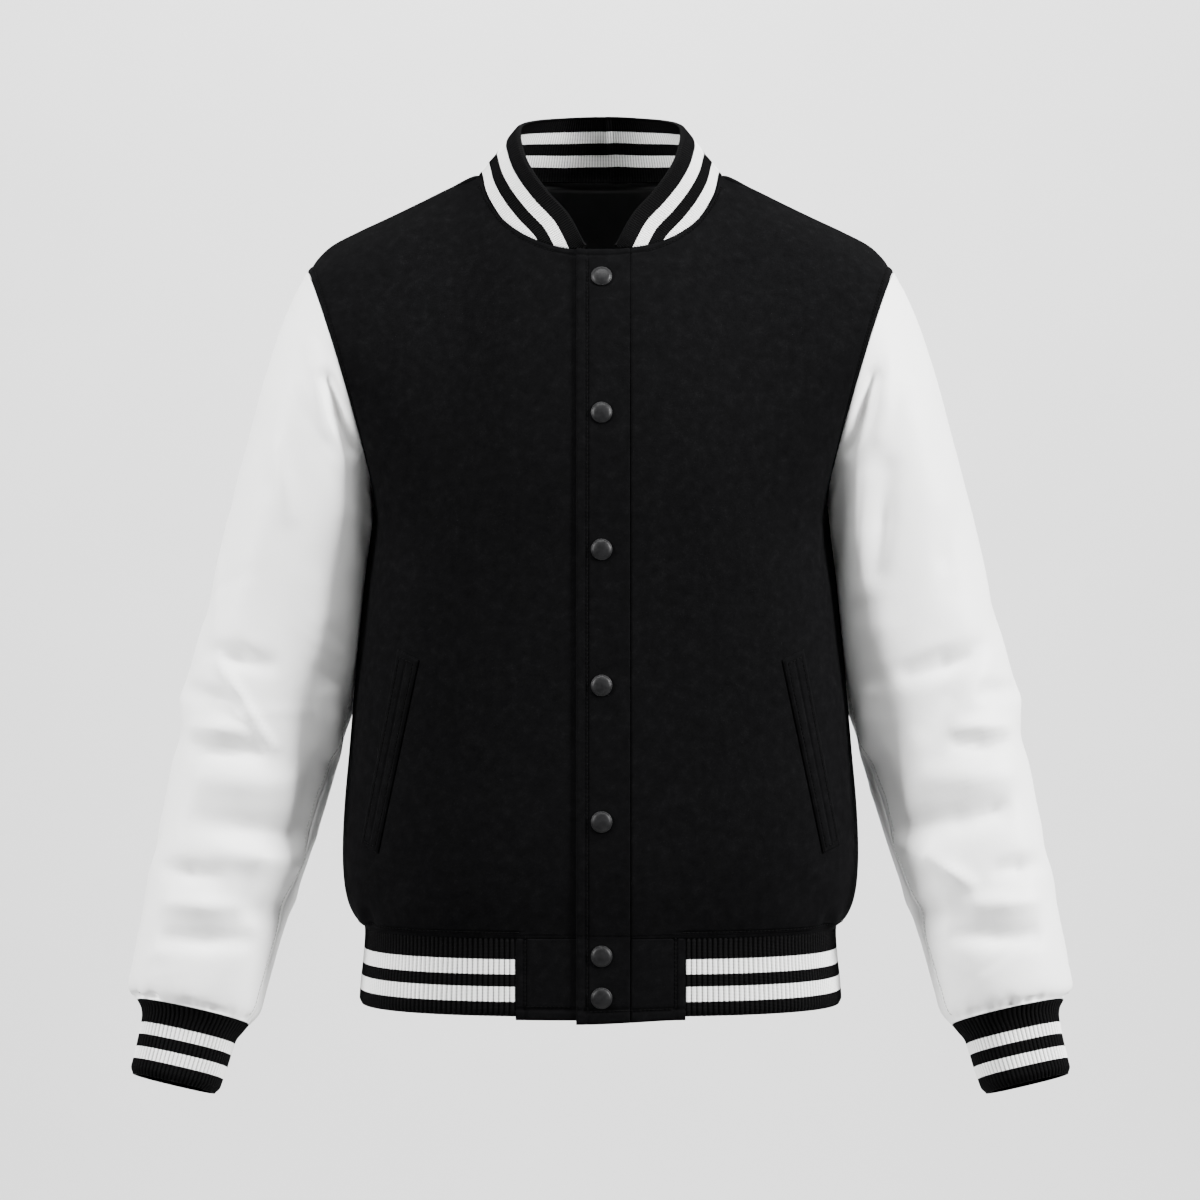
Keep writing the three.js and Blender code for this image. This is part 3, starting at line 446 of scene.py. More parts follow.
def shell(name, outer, normal, thick, materials, wrap=False, flip=False, values=None, uv=None):
    """A closed thin wall between a grid of points and the same grid moved inwards."""
    h, w = outer.shape[:2]
    n = h * w
    inner = outer - normal * np.asarray(thick)[..., None]

    def rim(edge, turned):
        quads = np.stack([edge[1:], edge[:-1], edge[:-1] + n, edge[1:] + n], -1)
        return quads[:, ::-1] if turned != flip else quads

    around = np.append(np.arange(w), 0) if wrap else np.arange(w)
    rims = [rim(around, False), rim(around + n - w, True)]
    if not wrap:
        down = np.arange(h)[::-1] * w
        rims += [rim(down, False), rim(down + w - 1, True)]
    faces = [grid_faces(h, w, wrap, 0, flip), grid_faces(h, w, wrap, n, not flip),
             np.concatenate(rims)]
    index = np.repeat([0, 1, 0], [len(part) for part in faces])
    points = np.concatenate([outer.reshape(-1, 3), inner.reshape(-1, 3)])
    if uv is None:
        uv = np.stack([lengths(outer, 1), lengths(outer, 0)], -1)
    uv = np.concatenate([uv.reshape(-1, 2)] * 2)
    doubled = {k: np.concatenate([np.ravel(v)] * 2) for k, v in (values or {}).items()}
    return make_mesh(name, points, np.concatenate(faces).tolist(), materials, uv, doubled, index)


def finish_piece(obj, node_name):
    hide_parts(node_name)
    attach(obj, "root")
    return obj


# Materials


def nodes_of(name, specular, roughness=None):
    """A new material, its node tree and shader, and the object's own coordinates."""
    material = bpy.data.materials.new(name)
    material.use_nodes = True
    tree = material.node_tree
    shader = tree.nodes["Principled BSDF"]
    shader.inputs["Specular IOR Level"].default_value = specular
    if roughness is not None:
        shader.inputs["Roughness"].default_value = roughness
    return material, tree, shader, node(tree, "TexCoord").outputs["Object"]


def node(tree, kind, **values):
    made = tree.nodes.new("ShaderNode" + kind)
    for key, value in values.items():
        if key in made.inputs:
            made.inputs[key].default_value = value
        else:
            setattr(made, key, value)
    return made


def noise(tree, coords, scale, detail, roughness):
    made = node(tree, "TexNoise", Scale=scale, Detail=detail, Roughness=roughness)
    tree.links.new(coords, made.inputs["Vector"])
    return made.outputs["Fac"]


def ramp(tree, value, stops, into=None):
    """A colour ramp over stops, each a place and a colour or a shade of grey."""
    made = node(tree, "ValToRGB")
    tree.links.new(value, made.inputs["Fac"])
    while len(made.color_ramp.elements) < len(stops):
        made.color_ramp.elements.new(0.5)
    for element, (place, colour) in zip(made.color_ramp.elements, stops):
        element.position = place
        element.color = (*(colour if isinstance(colour, tuple) else (colour,) * 3), 1)
    if into is not None:
        tree.links.new(made.outputs["Color"], into)
    return made.outputs["Color"]


def shade_of(colour, share):
    return tuple(c * share for c in colour)


def bump(tree, shader, height, strength, distance, under=None):
    """Relief from a height, on top of another relief if under is given."""
    made = node(tree, "Bump", Strength=strength, Distance=distance)
    tree.links.new(height, made.inputs["Height"])
    if under is not None:
        tree.links.new(under, made.inputs["Normal"])
    tree.links.new(made.outputs["Normal"], shader.inputs["Normal"])
    return made.outputs["Normal"]


def maths(tree, operation, a, b=None, c=None):
    """Arithmetic on numbers and sockets in the node tree."""
    made = node(tree, "Math", operation=operation)
    for socket, value in zip(made.inputs, (a, b, c)):
        if value is None:
            continue
        if isinstance(value, (int, float)):
            socket.default_value = value
        else:
            tree.links.new(value, socket)
    return made.outputs[0]


def wool_material():
    material, tree, shader, coords = nodes_of("wool_melton", 0.01, 0.92)
    mottle = noise(tree, coords, 130, 5, 0.65)
    nap = noise(tree, coords, 900, 3, 0.7)
    mixed = maths(tree, "MULTIPLY_ADD", mottle, 0.6, maths(tree, "MULTIPLY", nap, 0.4))
    ramp(tree, mixed, [(0.3, (0.0015, 0.0015, 0.0016)), (0.55, (0.0027, 0.0027, 0.0029)),
                       (0.75, (0.005, 0.005, 0.0053))], shader.inputs["Base Color"])
    shader.inputs["Sheen Weight"].default_value = 0.001
    shader.inputs["Sheen Roughness"].default_value = 0.5
    first = bump(tree, shader, mottle, 0.35, 0.0005)
    bump(tree, shader, nap, 0.5, 0.0003, first)
    return material


def leather_material():
    material, tree, shader, coords = nodes_of("white_leather", 0.4)
    cells = node(tree, "TexVoronoi", Scale=700.0, feature="DISTANCE_TO_EDGE")
    tree.links.new(coords, cells.inputs["Vector"])
    broad = noise(tree, coords, 14, 3, 0.5)
    fine = noise(tree, coords, 240, 4, 0.6)
    ramp(tree, broad, [(0.3, (0.82, 0.82, 0.812)), (0.7, (0.86, 0.86, 0.853))],
         shader.inputs["Base Color"])
    ramp(tree, fine, [(0.3, 0.42), (0.7, 0.54)], shader.inputs["Roughness"])
    grain = ramp(tree, cells.outputs["Distance"], [(0.0, 0.0), (0.12, 1.0)])
    first = bump(tree, shader, grain, 0.16, 0.0001)
    second = bump(tree, shader, fine, 0.22, 0.0004, first)
    bump(tree, shader, broad, 0.25, 0.003, second)
    return material


def rib_material(name, bands):
    """Rib knit, white between pairs of distances along the attribute band, in millimetres, with
    painted shade in the valleys between the ribs and between the rows of loops, and on the black yarn
    a painted highlight on the rib tops.
    """
    material, tree, shader, coords = nodes_of(name, 0.02, 0.9)
    band = node(tree, "Attribute", attribute_name="band").outputs["Fac"]
    phase = node(tree, "Attribute", attribute_name="rib").outputs["Fac"]
    split = node(tree, "SeparateXYZ")
    tree.links.new(node(tree, "UVMap", uv_map="cloth").outputs["UV"], split.inputs[0])
    fuzz = noise(tree, coords, 1100, 3, 0.6)
    place = maths(tree, "ADD", band, maths(tree, "MULTIPLY_ADD", fuzz, 0.7, -0.35))
    white = None
    for lo, hi in bands:
        inside = maths(tree, "MULTIPLY", maths(tree, "GREATER_THAN", place, lo),
                       maths(tree, "LESS_THAN", place, hi))
        white = inside if white is None else maths(tree, "MAXIMUM", white, inside)
    rows = maths(tree, "SINE", maths(tree, "MULTIPLY", split.outputs["Y"], 2 * math.pi / KNIT_ROW))
    # Painted shade of the knit from the rib profile and the rows of loops: low in the valleys between
    # ribs and between rows, high on the rib tops.
    painted_shade = maths(tree, "MULTIPLY", maths(tree, "MULTIPLY_ADD", phase, 0.75, 0.25),
                  maths(tree, "MULTIPLY_ADD", rows, 0.22, 0.78))
    mix = node(tree, "Mix", data_type="RGBA")
    tree.links.new(white, mix.inputs["Factor"])
    # Both yarns take the painted shade: the black one from a tenth of its colour in the valleys to 1.6
    # times it on the rib tops, the white one from a tenth of its colour up to its full colour.
    ramp(tree, painted_shade, [(0.25, shade_of(DARK, 0.1)), (0.95, shade_of(DARK, 1.6))], mix.inputs["A"])
    ramp(tree, painted_shade, [(0.16, shade_of(PALE, 0.1)), (0.6, PALE)], mix.inputs["B"])
    tree.links.new(mix.outputs["Result"], shader.inputs["Base Color"])
    shader.inputs["Sheen Weight"].default_value = 0.002
    first = bump(tree, shader, rows, 0.4, 0.00025)
    bump(tree, shader, fuzz, 0.4, 0.0002, first)
    return material


def plain_material(name, specular, roughness, grain, colours, relief=None, sheen=None):
    """A material whose colour, relief and roughness follow one noise."""
    material, tree, shader, coords = nodes_of(name, specular, roughness)
    value = noise(tree, coords, *grain)
    ramp(tree, value, colours, shader.inputs["Base Color"])
    if sheen:
        ramp(tree, value, sheen, shader.inputs["Roughness"])
    if relief:
        bump(tree, shader, value, *relief)
    return material


def thread_material(name, colour, specular):
    return plain_material(name, specular, 0.8, (2500, 2, 0.5),
                          [(0.3, shade_of(colour, 0.6)), (0.7, colour)])


# Colours of the rib knit, and the length in metres of one row of its loops.
DARK = (0.0026, 0.0026, 0.0027)
PALE = (0.82, 0.82, 0.81)
KNIT_ROW = 0.0011

WOOL = wool_material()
LEATHER = leather_material()
LINING = plain_material("black_lining", 0.3, 0.55, (60, 3, 0.5),
                        [(0.3, (0.006, 0.006, 0.0065)), (0.7, (0.010, 0.010, 0.011))], (0.3, 0.001))
RIB_COLLAR = rib_material("rib_collar", [(12.5, 22.0), (31.8, 41.3)])
RIB_HEM = rib_material("rib_hem", [(15.9, 27.4), (36.9, 48.4)])
RIB_CUFF = rib_material("rib_cuff", [(18.0, 27.2), (37.0, 46.5)])
SNAP = plain_material("black_nickel", 0.14, None, (260, 4, 0.6),
                      [(0.3, (0.005, 0.005, 0.0053)), (0.7, (0.009, 0.009, 0.0095))], (0.02, 0.0001),
                      [(0.35, 0.4), (0.7, 0.5)])
BLACK_THREAD = thread_material("black_thread", (0.002, 0.002, 0.0021), 0.04)
WHITE_THREAD = thread_material("white_thread", (0.66, 0.66, 0.64), 0.3)


# Panels of the body


def spread(lo, hi, step, fine, reach, fine_step):
    """Places from lo to hi, closer near each place in fine."""
    places = [lo]
    while places[-1] < hi - 1e-6:
        near = min(abs(places[-1] - f) for f in fine)
        places.append(places[-1] + (fine_step if near < reach else step))
    places[-1] = hi
    return np.array(places)


ROWS = np.arange(TOP_ROW + 1.0)
# Length of each row of the front from its bottom, measured along a column beside the middle, and
# the width that stands for half a face.
MEASURED_COLUMN = MIDDLE_COLUMN + 7.0
ROW_LENGTH = lengths(patch_at(-1, np.full(TOP_ROW + 1, MEASURED_COLUMN), ROWS))
ACROSS = 290.0
HEM_AT = ROW_LENGTH[HEM_ROW]
NECK_AT = ROW_LENGTH[-1]
# The last share of a panel before the seam of its face, and the width of a front.
EDGE_SHARE = 0.9995
FRONT_WIDTH = 267


def row_of(length):
    return np.interp(length, ROW_LENGTH, ROWS)


def length_of(row):
    return np.interp(row, ROWS, ROW_LENGTH)


BODY_PLACES = row_of(spread(HEM_AT, NECK_AT, 4.0, [HEM_AT, NECK_AT], 14.0, 0.9))
TAB_PLACES = row_of(spread(0, HEM_AT, 3.0, [0.0], 13.0, 0.9))


def stitch_groove(distance, at, deep=0.8, width=1.4):
    return -deep * np.exp(-((distance - at) / width) ** 2)


def rolled(distance, deep=0.9, width=1.3):
    return -deep * np.exp(-(np.maximum(distance, 0) / width) ** 2)


def panel_relief(u, row):
    """Grooves of the stitching near the edges of a front or the back."""
    size = np.abs(u)
    across = (1 - size) * ACROSS
    along = length_of(row) - HEM_AT
    down = NECK_AT - length_of(row)
    arm = ease(ARM_ROW + 0.1, ARM_ROW + 0.6, row)
    neck = ease(NECK_SHARE + 0.004, NECK_SHARE - 0.004, size)
    rib_side = ease(0.19, 0.2, size) * ease(HEM_ROW + 1e-3, HEM_ROW + 2e-3, row + 0 * u)
    return ((stitch_groove(across, ARMHOLE_LINE) + rolled(across)) * arm
            + (stitch_groove(down, NECK_LINE) + rolled(down)) * neck
            + rolled(down, 0.5, 1.0) * (1 - neck)
            + (stitch_groove(along, HEM_LINE) + rolled(along, 0.8, 1.0)) * rib_side)


def panel(node_name, face, u, rows, relief, lapped=False, hung=0):
    """A piece of the body at shares u along each of its rows."""
    u = np.broadcast_to(u, (len(rows), u.shape[-1]))
    row = np.broadcast_to(rows[:, None], u.shape)
    points, normal = body_at(face, u, row, lapped, relief(u, row), hung)
    uv = np.stack([u * ACROSS, length_of(row)], -1)
    obj = shell(node_name + "_cloth", points, normal, WALL, [WOOL, LINING], flip=face > 0, uv=uv)
    return finish_piece(obj, node_name)


def front_shares(start_x, side, rows):
    """Shares of a front from x at its free edge to the side."""
    start = share_at(-1, start_x, rows) * side
    base = spread(0.0, 1.0, 4.0 / FRONT_WIDTH, [0.0, 1.0], 11.0 / FRONT_WIDTH, 0.9 / FRONT_WIDTH)
    shares = (start[:, None] + (EDGE_SHARE - start[:, None]) * base) * side
    return shares if side > 0 else shares[:, ::-1]


def under_placket(x):
    return rolled(x - PLACKET_SEAM - 0.4, 1.1, 0.8)


def across_at(u, row):
    return patch_at(-1, column_of(u), row)[..., 0]


def strip(node_name, lo, hi, rows, line, bottom, hidden=0.0, lapped=False, hung=0):
    """A strip of the front between two x, sewn at x on a line, above its bottom and at the neck."""
    def relief(u, row):
        x = across_at(u, row)
        along = length_of(row)
        neck = NECK_AT - along
        total = (rolled(x - lo, 0.7, 0.9) + rolled(hi - x, 0.4, 0.7) + stitch_groove(x, line)
                 + stitch_groove(along, bottom) + rolled(along, 0.8, 1.0)
                 + stitch_groove(neck, NECK_LINE) + rolled(neck))
        return total + under_placket(x) if hidden else total

    a, b = share_at(-1, lo - hidden, rows), share_at(-1, hi, rows)
    width = hi - lo + hidden
    base = spread(0.0, width, 2.2, [0.0, width], 10.5, 0.8) / width
    shares = a[:, None] + (b - a)[:, None] * base
    return panel(node_name, -1, shares, rows, relief, lapped, hung)


# The placket hides this much of the cloth behind its seam.
TUCKED = 1.2
front_left = panel("front_left", -1, front_shares(PLACKET_SEAM - TUCKED, 1, BODY_PLACES), BODY_PLACES,
                   lambda u, row: panel_relief(u, row) + under_placket(across_at(u, row)), True)
front_right = panel("front_right", -1, front_shares(UNDERLAP_EDGE, -1, BODY_PLACES), BODY_PLACES,
                    panel_relief)
back_half = spread(0.0, EDGE_SHARE * ACROSS, 4.5, [ACROSS], 11.0, 0.9) / ACROSS
back = panel("back", 1, np.concatenate([-back_half[:0:-1], back_half]), BODY_PLACES, panel_relief)
tab_left = strip("hem_tab_left", PLACKET_SEAM, TAB_EDGE, TAB_PLACES, TAB_EDGE - TAB_LINE, 7.5,
                 TUCKED, True)
tab_right = strip("hem_tab_right", -TAB_EDGE, UNDERLAP_EDGE, TAB_PLACES, TAB_LINE - TAB_EDGE, 7.5,
                  hung=1)
placket = strip("placket", PLACKET_EDGE, PLACKET_SEAM, np.concatenate([TAB_PLACES[:-1], BODY_PLACES]),
                PLACKET_EDGE + PLACKET_LINE, 8.5, lapped=True)


# Sleeves and cuffs


def ring_at(table, ring, degrees):
    """A point round a ring of a sleeve or cuff, and the middle of the ring."""
    x0, z0, x1, z1, y, front, rear, pitch = [through(np.arange(len(table)), column, ring)
                                             for column in table.T]
    outer = np.stack([x0, y, z0], -1)
    middle = (outer + np.stack([x1, y, z1], -1)) / 2
    angle = np.radians(degrees)
    full = 1 + FULLNESS * ease(0.4, 2.5, ring) * ease(13, 11, ring) * np.sin(2 * angle) ** 2
    side = np.sin(angle) * full
    depth = np.where(side > 0, front, rear) * side
    tilt = np.radians(pitch)
    across = np.stack([0 * depth, -np.cos(tilt) * depth, np.sin(tilt) * depth], -1)
    return middle + (outer - middle) * (np.cos(angle) * full)[..., None] + across, middle


# Direction in which the sleeve leaves the armhole, and how far front and back it is pressed.
SLEEVE_AXIS = unit(-np.array([UNDERARM[2] - SHOULDER_TIP[2], 0, SHOULDER_TIP[0] - UNDERARM[0]]))
PRESSED_DEPTH = 108


def bare_sleeve(ring, degrees):
    """The sleeve without folds, fitted to the armhole and pressed outwards where it meets the body."""
    point, middle = ring_at(SLEEVE, ring, degrees)
    inset = 1 - ease(0, 0.6, ring)
    point = point + unit(middle - point) * inset[..., None]
    point = point + SLEEVE_AXIS * (SEAM * (1 - ease(0, 1, ring)))[..., None]
    bend = ARMHOLE_BEND * np.abs(np.sin(np.radians(degrees))) * (1 - ease(0, 2.6, ring))
    point = point - bend[..., None] * np.array([1.0, 0, 0])
    near = ease(UNDERARM[2] - 0.2, UNDERARM[2] - 5, point[..., 2])
    least = body_half_at(np.clip(point[..., 1], -PRESSED_DEPTH, PRESSED_DEPTH),
                         np.minimum(point[..., 2], UNDERARM[2])) + SLEEVE_CLEAR
    gap = point[..., 0] - least
    pressed = least + 0.5 * (gap + np.sqrt(gap * gap + 2))
    near = near * (np.abs(point[..., 1]) < PRESSED_DEPTH)
    point[..., 0] += (pressed - point[..., 0]) * near
    return point


def grid_normal(grid, out):
    """Directions at right angles to a closed grid, on the side of out."""
    across = np.roll(grid, -1, axis=1) - np.roll(grid, 1, axis=1)
    return turned_out(unit(np.cross(across, np.gradient(grid, axis=0))), out)


def turned_from(degrees, centre):
    return (degrees - centre + 180) % 360 - 180


def sleeve_folds(ring, degrees, side, bare):
    """Height of the folds, the puckers over the cuff seam and the small creases."""
    quiet = ease(0, 0.6, ring) * ease(LAST_RING, 13.2, ring)
    pressed = ease(150, 165, degrees) * ease(240, 225, degrees) * ease(6.8, 5.8, ring)
    fold = sum(swell(SLEEVE_FOLDS, np.stack([ring, degrees + turn], -1), (RING_STEP, DEGREE_STEP))
               for turn in (-360, 0, 360))
    seen = ease(0.05, 0.4, np.sin(np.radians(degrees)))
    front = swell(FRONT_FOLDS[side], bare[..., [0, 2]]) * seen
    rng = np.random.default_rng(7 if side > 0 else 11)
    gather = np.zeros_like(ring)
    for _ in range(PUCKERS):
        centre, wide = rng.uniform(0, 360), rng.uniform(2.2, 4.4)
        deep, long = rng.uniform(0.7, 2.2), rng.uniform(0.6, 1.5)
        gather -= (deep * np.exp(-(turned_from(degrees, centre) / wide) ** 2)
                   * ease(13.9 - long, 13.75, ring))
    small = np.zeros_like(ring)
    for _ in range(CREASES):
        r0, a0, tilt = rng.uniform(0.6, 12.6), rng.uniform(0, 360), rng.uniform(-0.9, 0.9)
        along, across = (ring - r0) * RING_STEP, turned_from(degrees, a0) * DEGREE_STEP
        long_way = across * math.cos(tilt) + along * math.sin(tilt)
        short_way = along * math.cos(tilt) - across * math.sin(tilt)
        small += rng.uniform(-0.9, 0.9) * np.exp(-(long_way / rng.uniform(16, 34)) ** 2
                                                 - (short_way / rng.uniform(3.5, 8)) ** 2)
    seam = sum(-0.7 * np.exp(-((degrees - at) / 1.3) ** 2) for at in SLEEVE_SEAMS)
    seam = seam * ease(0, 0.4, ring) * ease(LAST_RING, 13.8, ring)
    return ((fold * (1 - 0.8 * pressed) + front) * quiet + gather * ease(14.05, 13.8, ring)
            + small * quiet * (1 - pressed) + seam)


def sleeve(side):
    """The top sleeve and the under sleeve, and the lines sewn beside their seams."""
    rings = np.concatenate([np.linspace(0, 1, 22)[:-1], np.linspace(1, 12.4, 118)[:-1],
                            np.linspace(12.4, LAST_RING, 26)])
    ring, degrees = np.meshgrid(rings, np.arange(0, 360, ANGLE_STEP), indexing="ij")
    bare = bare_sleeve(ring, degrees)
    out = unit(bare - ring_at(SLEEVE, ring, degrees)[1])
    at_end = np.maximum(1 - ease(0, 0.3, ring), ease(13.5, LAST_RING, ring))[..., None]

    def facing(grid):
        return unit(grid_normal(grid, out) * (1 - at_end) + out * at_end)

    outer = bare + facing(bare) * sleeve_folds(ring, degrees, side, bare)[..., None]
    normal = facing(outer)
    flip = np.array([side, 1, 1])
    word = "left" if side > 0 else "right"
    front, rear = [int(round(at / ANGLE_STEP)) for at in SLEEVE_SEAMS]
    turn = ring.shape[1]
    pieces = []
    for kind, columns in (("top", np.arange(rear, front + turn + 1) % turn),
                          ("under", np.arange(front, rear + 1))):
        obj = shell(f"{kind}_sleeve_{word}_leather", outer[:, columns] * flip,
                    normal[:, columns] * flip, WALL, [LEATHER, LINING], flip=side < 0)
        pieces.append(finish_piece(obj, f"{kind}_sleeve_{word}"))
    lines = []
    for column, first in ((front - 2, 6.0), (rear + 2, 1.0)):
        rows = [np.argmin(np.abs(rings - r)) for r in np.linspace(first, 13.5, 200)]
        lines.append(((outer[rows, column] + normal[rows, column] * 0.1) * flip,
                      normal[rows, column] * flip))
    return pieces, lines


def ribbed(node_name, at, ribs, rows, thick, deep, material, wrap=False, per_rib=6, flip=False):
    """A rib knit wall: round ridges side by side over a plain inside."""
    count = ribs * per_rib + (0 if wrap else 1)
    row, share = np.meshgrid(rows, np.arange(count) / (ribs * per_rib), indexing="ij")
    points, normal, band = at(share, row)
    wave = np.abs(np.sin(math.pi * ribs * share)) ** 0.7
    outer = points + normal * ((wave - 1) * deep)[..., None]
    # The rib profile also goes to the material as the attribute rib, from which it paints shade into
    # the valleys between the ribs and a highlight onto the black rib tops.
    obj = shell(node_name + "_knit", outer, normal, thick - (1 - wave) * deep * 0.2,
                [material, material], wrap, flip, {"band": band, "rib": wave},
                np.stack([lengths(points, 1), band], -1))
    return finish_piece(obj, node_name)


def cuff(side):
    rows = np.concatenate([np.linspace(0, 3.6, 18), np.linspace(3.66, 4, 7)])
    flip = np.array([side, 1, 1])
    fall = lengths(ring_at(CUFF, rows, np.full(rows.shape, 90.0))[0])

    def at(share, row):
        point, middle = ring_at(CUFF, row, share * 360)
        out = unit(point - middle)
        depth = np.interp(row, rows, fall)
        turned = ease(fall[-1] - 7, fall[-1], depth) ** 2 * 2.6
        return (point - out * turned[..., None]) * flip, out * flip, depth

    return ribbed("cuff_left" if side > 0 else "cuff_right", at, 70, rows, 2.4, 1.1, RIB_CUFF,
                  True, 8, side < 0)


# Hem rib and collar


def hem_at(share, row):
    """A point of the hem rib, from one tab round the back to the other, and how far down it is."""
    start = share_at(-1, TAB_END, np.atleast_1d(row)[:, :1])
    front = 1 - start
    along = share * (2 * front + 2)
    left = body_at(-1, np.clip(start + along, -1, 1), row)
    rear = body_at(1, np.clip(1 - (along - front), -1, 1), row)
    right = body_at(-1, np.clip(-1 + (along - front - 2), -1, 1), row)
    first, last = (along <= front)[..., None], (along > front + 2)[..., None]
    point, normal = [np.where(first, left[k], np.where(last, right[k], rear[k])) for k in (0, 1)]
    z = point[..., 2]
    tuck = ease(-652, -657, z) ** 2 * 2.0
    return point - normal * tuck[..., None], normal, BELOW_HEM[-1] - z


hem_rib = ribbed("hem_rib", hem_at, 262, row_of(np.linspace(0.2, HEM_AT, 19)), 2.4, 1.1, RIB_HEM)


def neck_seam(side, count=600):
    """Points of the neck seam from the front end of the collar to the middle of the back."""
    row = np.full(count, float(TOP_ROW))
    u = np.linspace(share_at(-1, COLLAR_END, row[:1])[0], NECK_SHARE, count) * side
    rear = body_at(1, np.linspace(NECK_SHARE, 0, count) * side, row)[0]
    return np.concatenate([body_at(-1, u, row, side > 0)[0], rear[1:]])


SEAMS = {side: neck_seam(side) for side in (1, -1)}


def collar_surface(share, height):
    """A point of the collar, straight from the neck seam at height 0 to its top edge at height 1."""
    point = np.zeros(share.shape + (3,))
    for side in (1, -1):
        path = SEAMS[side]
        run = lengths(path)
        part = np.clip(2 * share if side > 0 else 2 - 2 * share, 0, 1)
        seam = np.stack([np.interp(part * run[-1], run, path[:, k]) for k in range(3)], -1)
        top = np.stack([through(COLLAR[:, 0], COLLAR[:, k], part * COLLAR[-2, 0])
                        for k in (1, 2, 3)], -1) * np.array([side, 1, 1])
        lap = lap_lift(seam[..., 0]) * ease(4, 12, seam[..., 0]) if side > 0 else 0 * part
        top[..., 1] -= lap
        up = unit(top - seam)
        low = seam + up * COLLAR_GAP
        mine = (share <= 0.5) if side > 0 else (share > 0.5)
        point = np.where(mine[..., None], low + (top - low) * height[..., None], point)
    return point


def collar_at(share, height):
    """A point of the collar, rounded out and turned in at its edges, and how far down it is."""
    step = 0.002
    along = (collar_surface(np.minimum(1, share + step), height)
             - collar_surface(np.maximum(0, share - step), height))
    up = collar_surface(share, 0 * height + 1) - collar_surface(share, 0 * height)
    normal = unit(np.cross(up, along))
    middle = collar_surface(share, 0 * height + 0.5)
    out = np.stack([middle[..., 0], middle[..., 1], 0 * height + 20], -1)
    normal = turned_out(normal, out)
    bulge = COLLAR_BULGE * 4 * height * (1 - height) * ease(0.1, 0.25, np.minimum(share, 1 - share))
    bulge = bulge - 1.2 * ease(0, -0.03, height) - 1.3 * ease(0.955, 1.0, height)
    point = collar_surface(share, height) + normal * bulge[..., None]
    shares = np.linspace(0, 1, share.shape[1])[None]
    edge = collar_surface(shares, 0 * shares + 1)[0]
    return point, normal, top_distance(point, edge)


def top_distance(points, edge):
    """Distance from the top edge of the collar."""
    flat = points.reshape(-1, 3)
    best = np.full(len(flat), 1e9)
    path = edge[::3]
    for p, q in zip(path[:-1], path[1:]):
        d = q - p
        t = np.clip(((flat - p) @ d) / (d @ d), 0, 1)
        best = np.minimum(best, np.linalg.norm(flat - p - t[:, None] * d, axis=1))
    return best.reshape(points.shape[:-1])


collar_rows = np.concatenate([[-0.05, -0.03], np.linspace(0, 0.94, 16), [0.96, 0.975, 0.99, 1.0]])
collar = ribbed("collar", collar_at, 236, collar_rows, 2.2, 0.8, RIB_COLLAR, flip=True)


# Welts, snaps and stitches


def welt(side):
    """A welt, and the line sewn round it with its facing."""
    a, b, c, d = [np.array(p, float) for p in WELT_CORNERS]
    down, across = np.meshgrid(np.linspace(0, 1, 110), np.linspace(0, 1, 40), indexing="ij")
    start = a + (d - a) * down[..., None]
    end = b + (c - b) * down[..., None]
    place = start + (end - start) * across[..., None]
    row = row_at(place[..., 1])
    u = share_at(-1, side * place[..., 0], row)
    edge = np.minimum(np.minimum(across, 1 - across) * WELT_WIDTH,
                      np.minimum(down, 1 - down) * WELT_LENGTH)
    lift = WELT_LIFT + rolled(edge, 1.2, 1.0) + stitch_groove(edge, WELT_LINE, 0.4, 0.7)
    middle = stitch_groove(np.abs(across - 0.5) * WELT_WIDTH, 0.0, 0.9, 0.8)
    lift = lift + middle * ease(0.02, 0.05, down) * ease(0.98, 0.95, down)
    points, normal = body_at(-1, u, row, False, lift)
    name = "pocket_welt_left" if side > 0 else "pocket_welt_right"
    obj = shell(name + "_cloth", points, normal, WELT_THICK, [WOOL, WOOL], flip=side > 0)
    finish_piece(obj, name)
    top, bottom, left, right = 3, 106, 7, 32
    ring = ([(k, left) for k in range(top + 1, bottom)]
            + [(bottom, k) for k in range(left, right + 1)]
            + [(k, right) for k in range(bottom - 1, top, -1)]
            + [(top, k) for k in range(right, left - 1, -1)])
    rows, columns = np.array(ring).T
    facing = normal[rows, columns]
    return obj, (points[rows, columns] + facing * 0.1, facing)


def snap(number, z):
    """A domed cap on the placket."""
    row = row_at([z])
    points, normal = body_at(-1, share_at(-1, SNAP_X, row), row, False, LAP_LIFT + 0.1)
    base, out = points[0], normal[0]
    side = unit(np.cross(out, np.array([0, 0, 1.0])))
    up = np.cross(side, out)
    turns = np.linspace(0, 2 * math.pi, SNAP_SIDES + 1)[:-1]
    rings = [base + out * h + (side * math.cos(t) + up * math.sin(t)) * r
             for r, h in SNAP_PROFILE for t in turns]
    points = np.array([base, *rings, base + out * 3.0])
    faces = grid_faces(len(SNAP_PROFILE), SNAP_SIDES, True, 1, True).tolist()
    last = len(points) - 1
    top = last - SNAP_SIDES
    for k in range(SNAP_SIDES):
        beside = (k + 1) % SNAP_SIDES
        faces += [(0, 1 + k, 1 + beside), (last, top + beside, top + k)]
    obj = make_mesh(f"snap_{number}_cap", points, faces, [SNAP])
    return finish_piece(obj, f"snap_{number}")


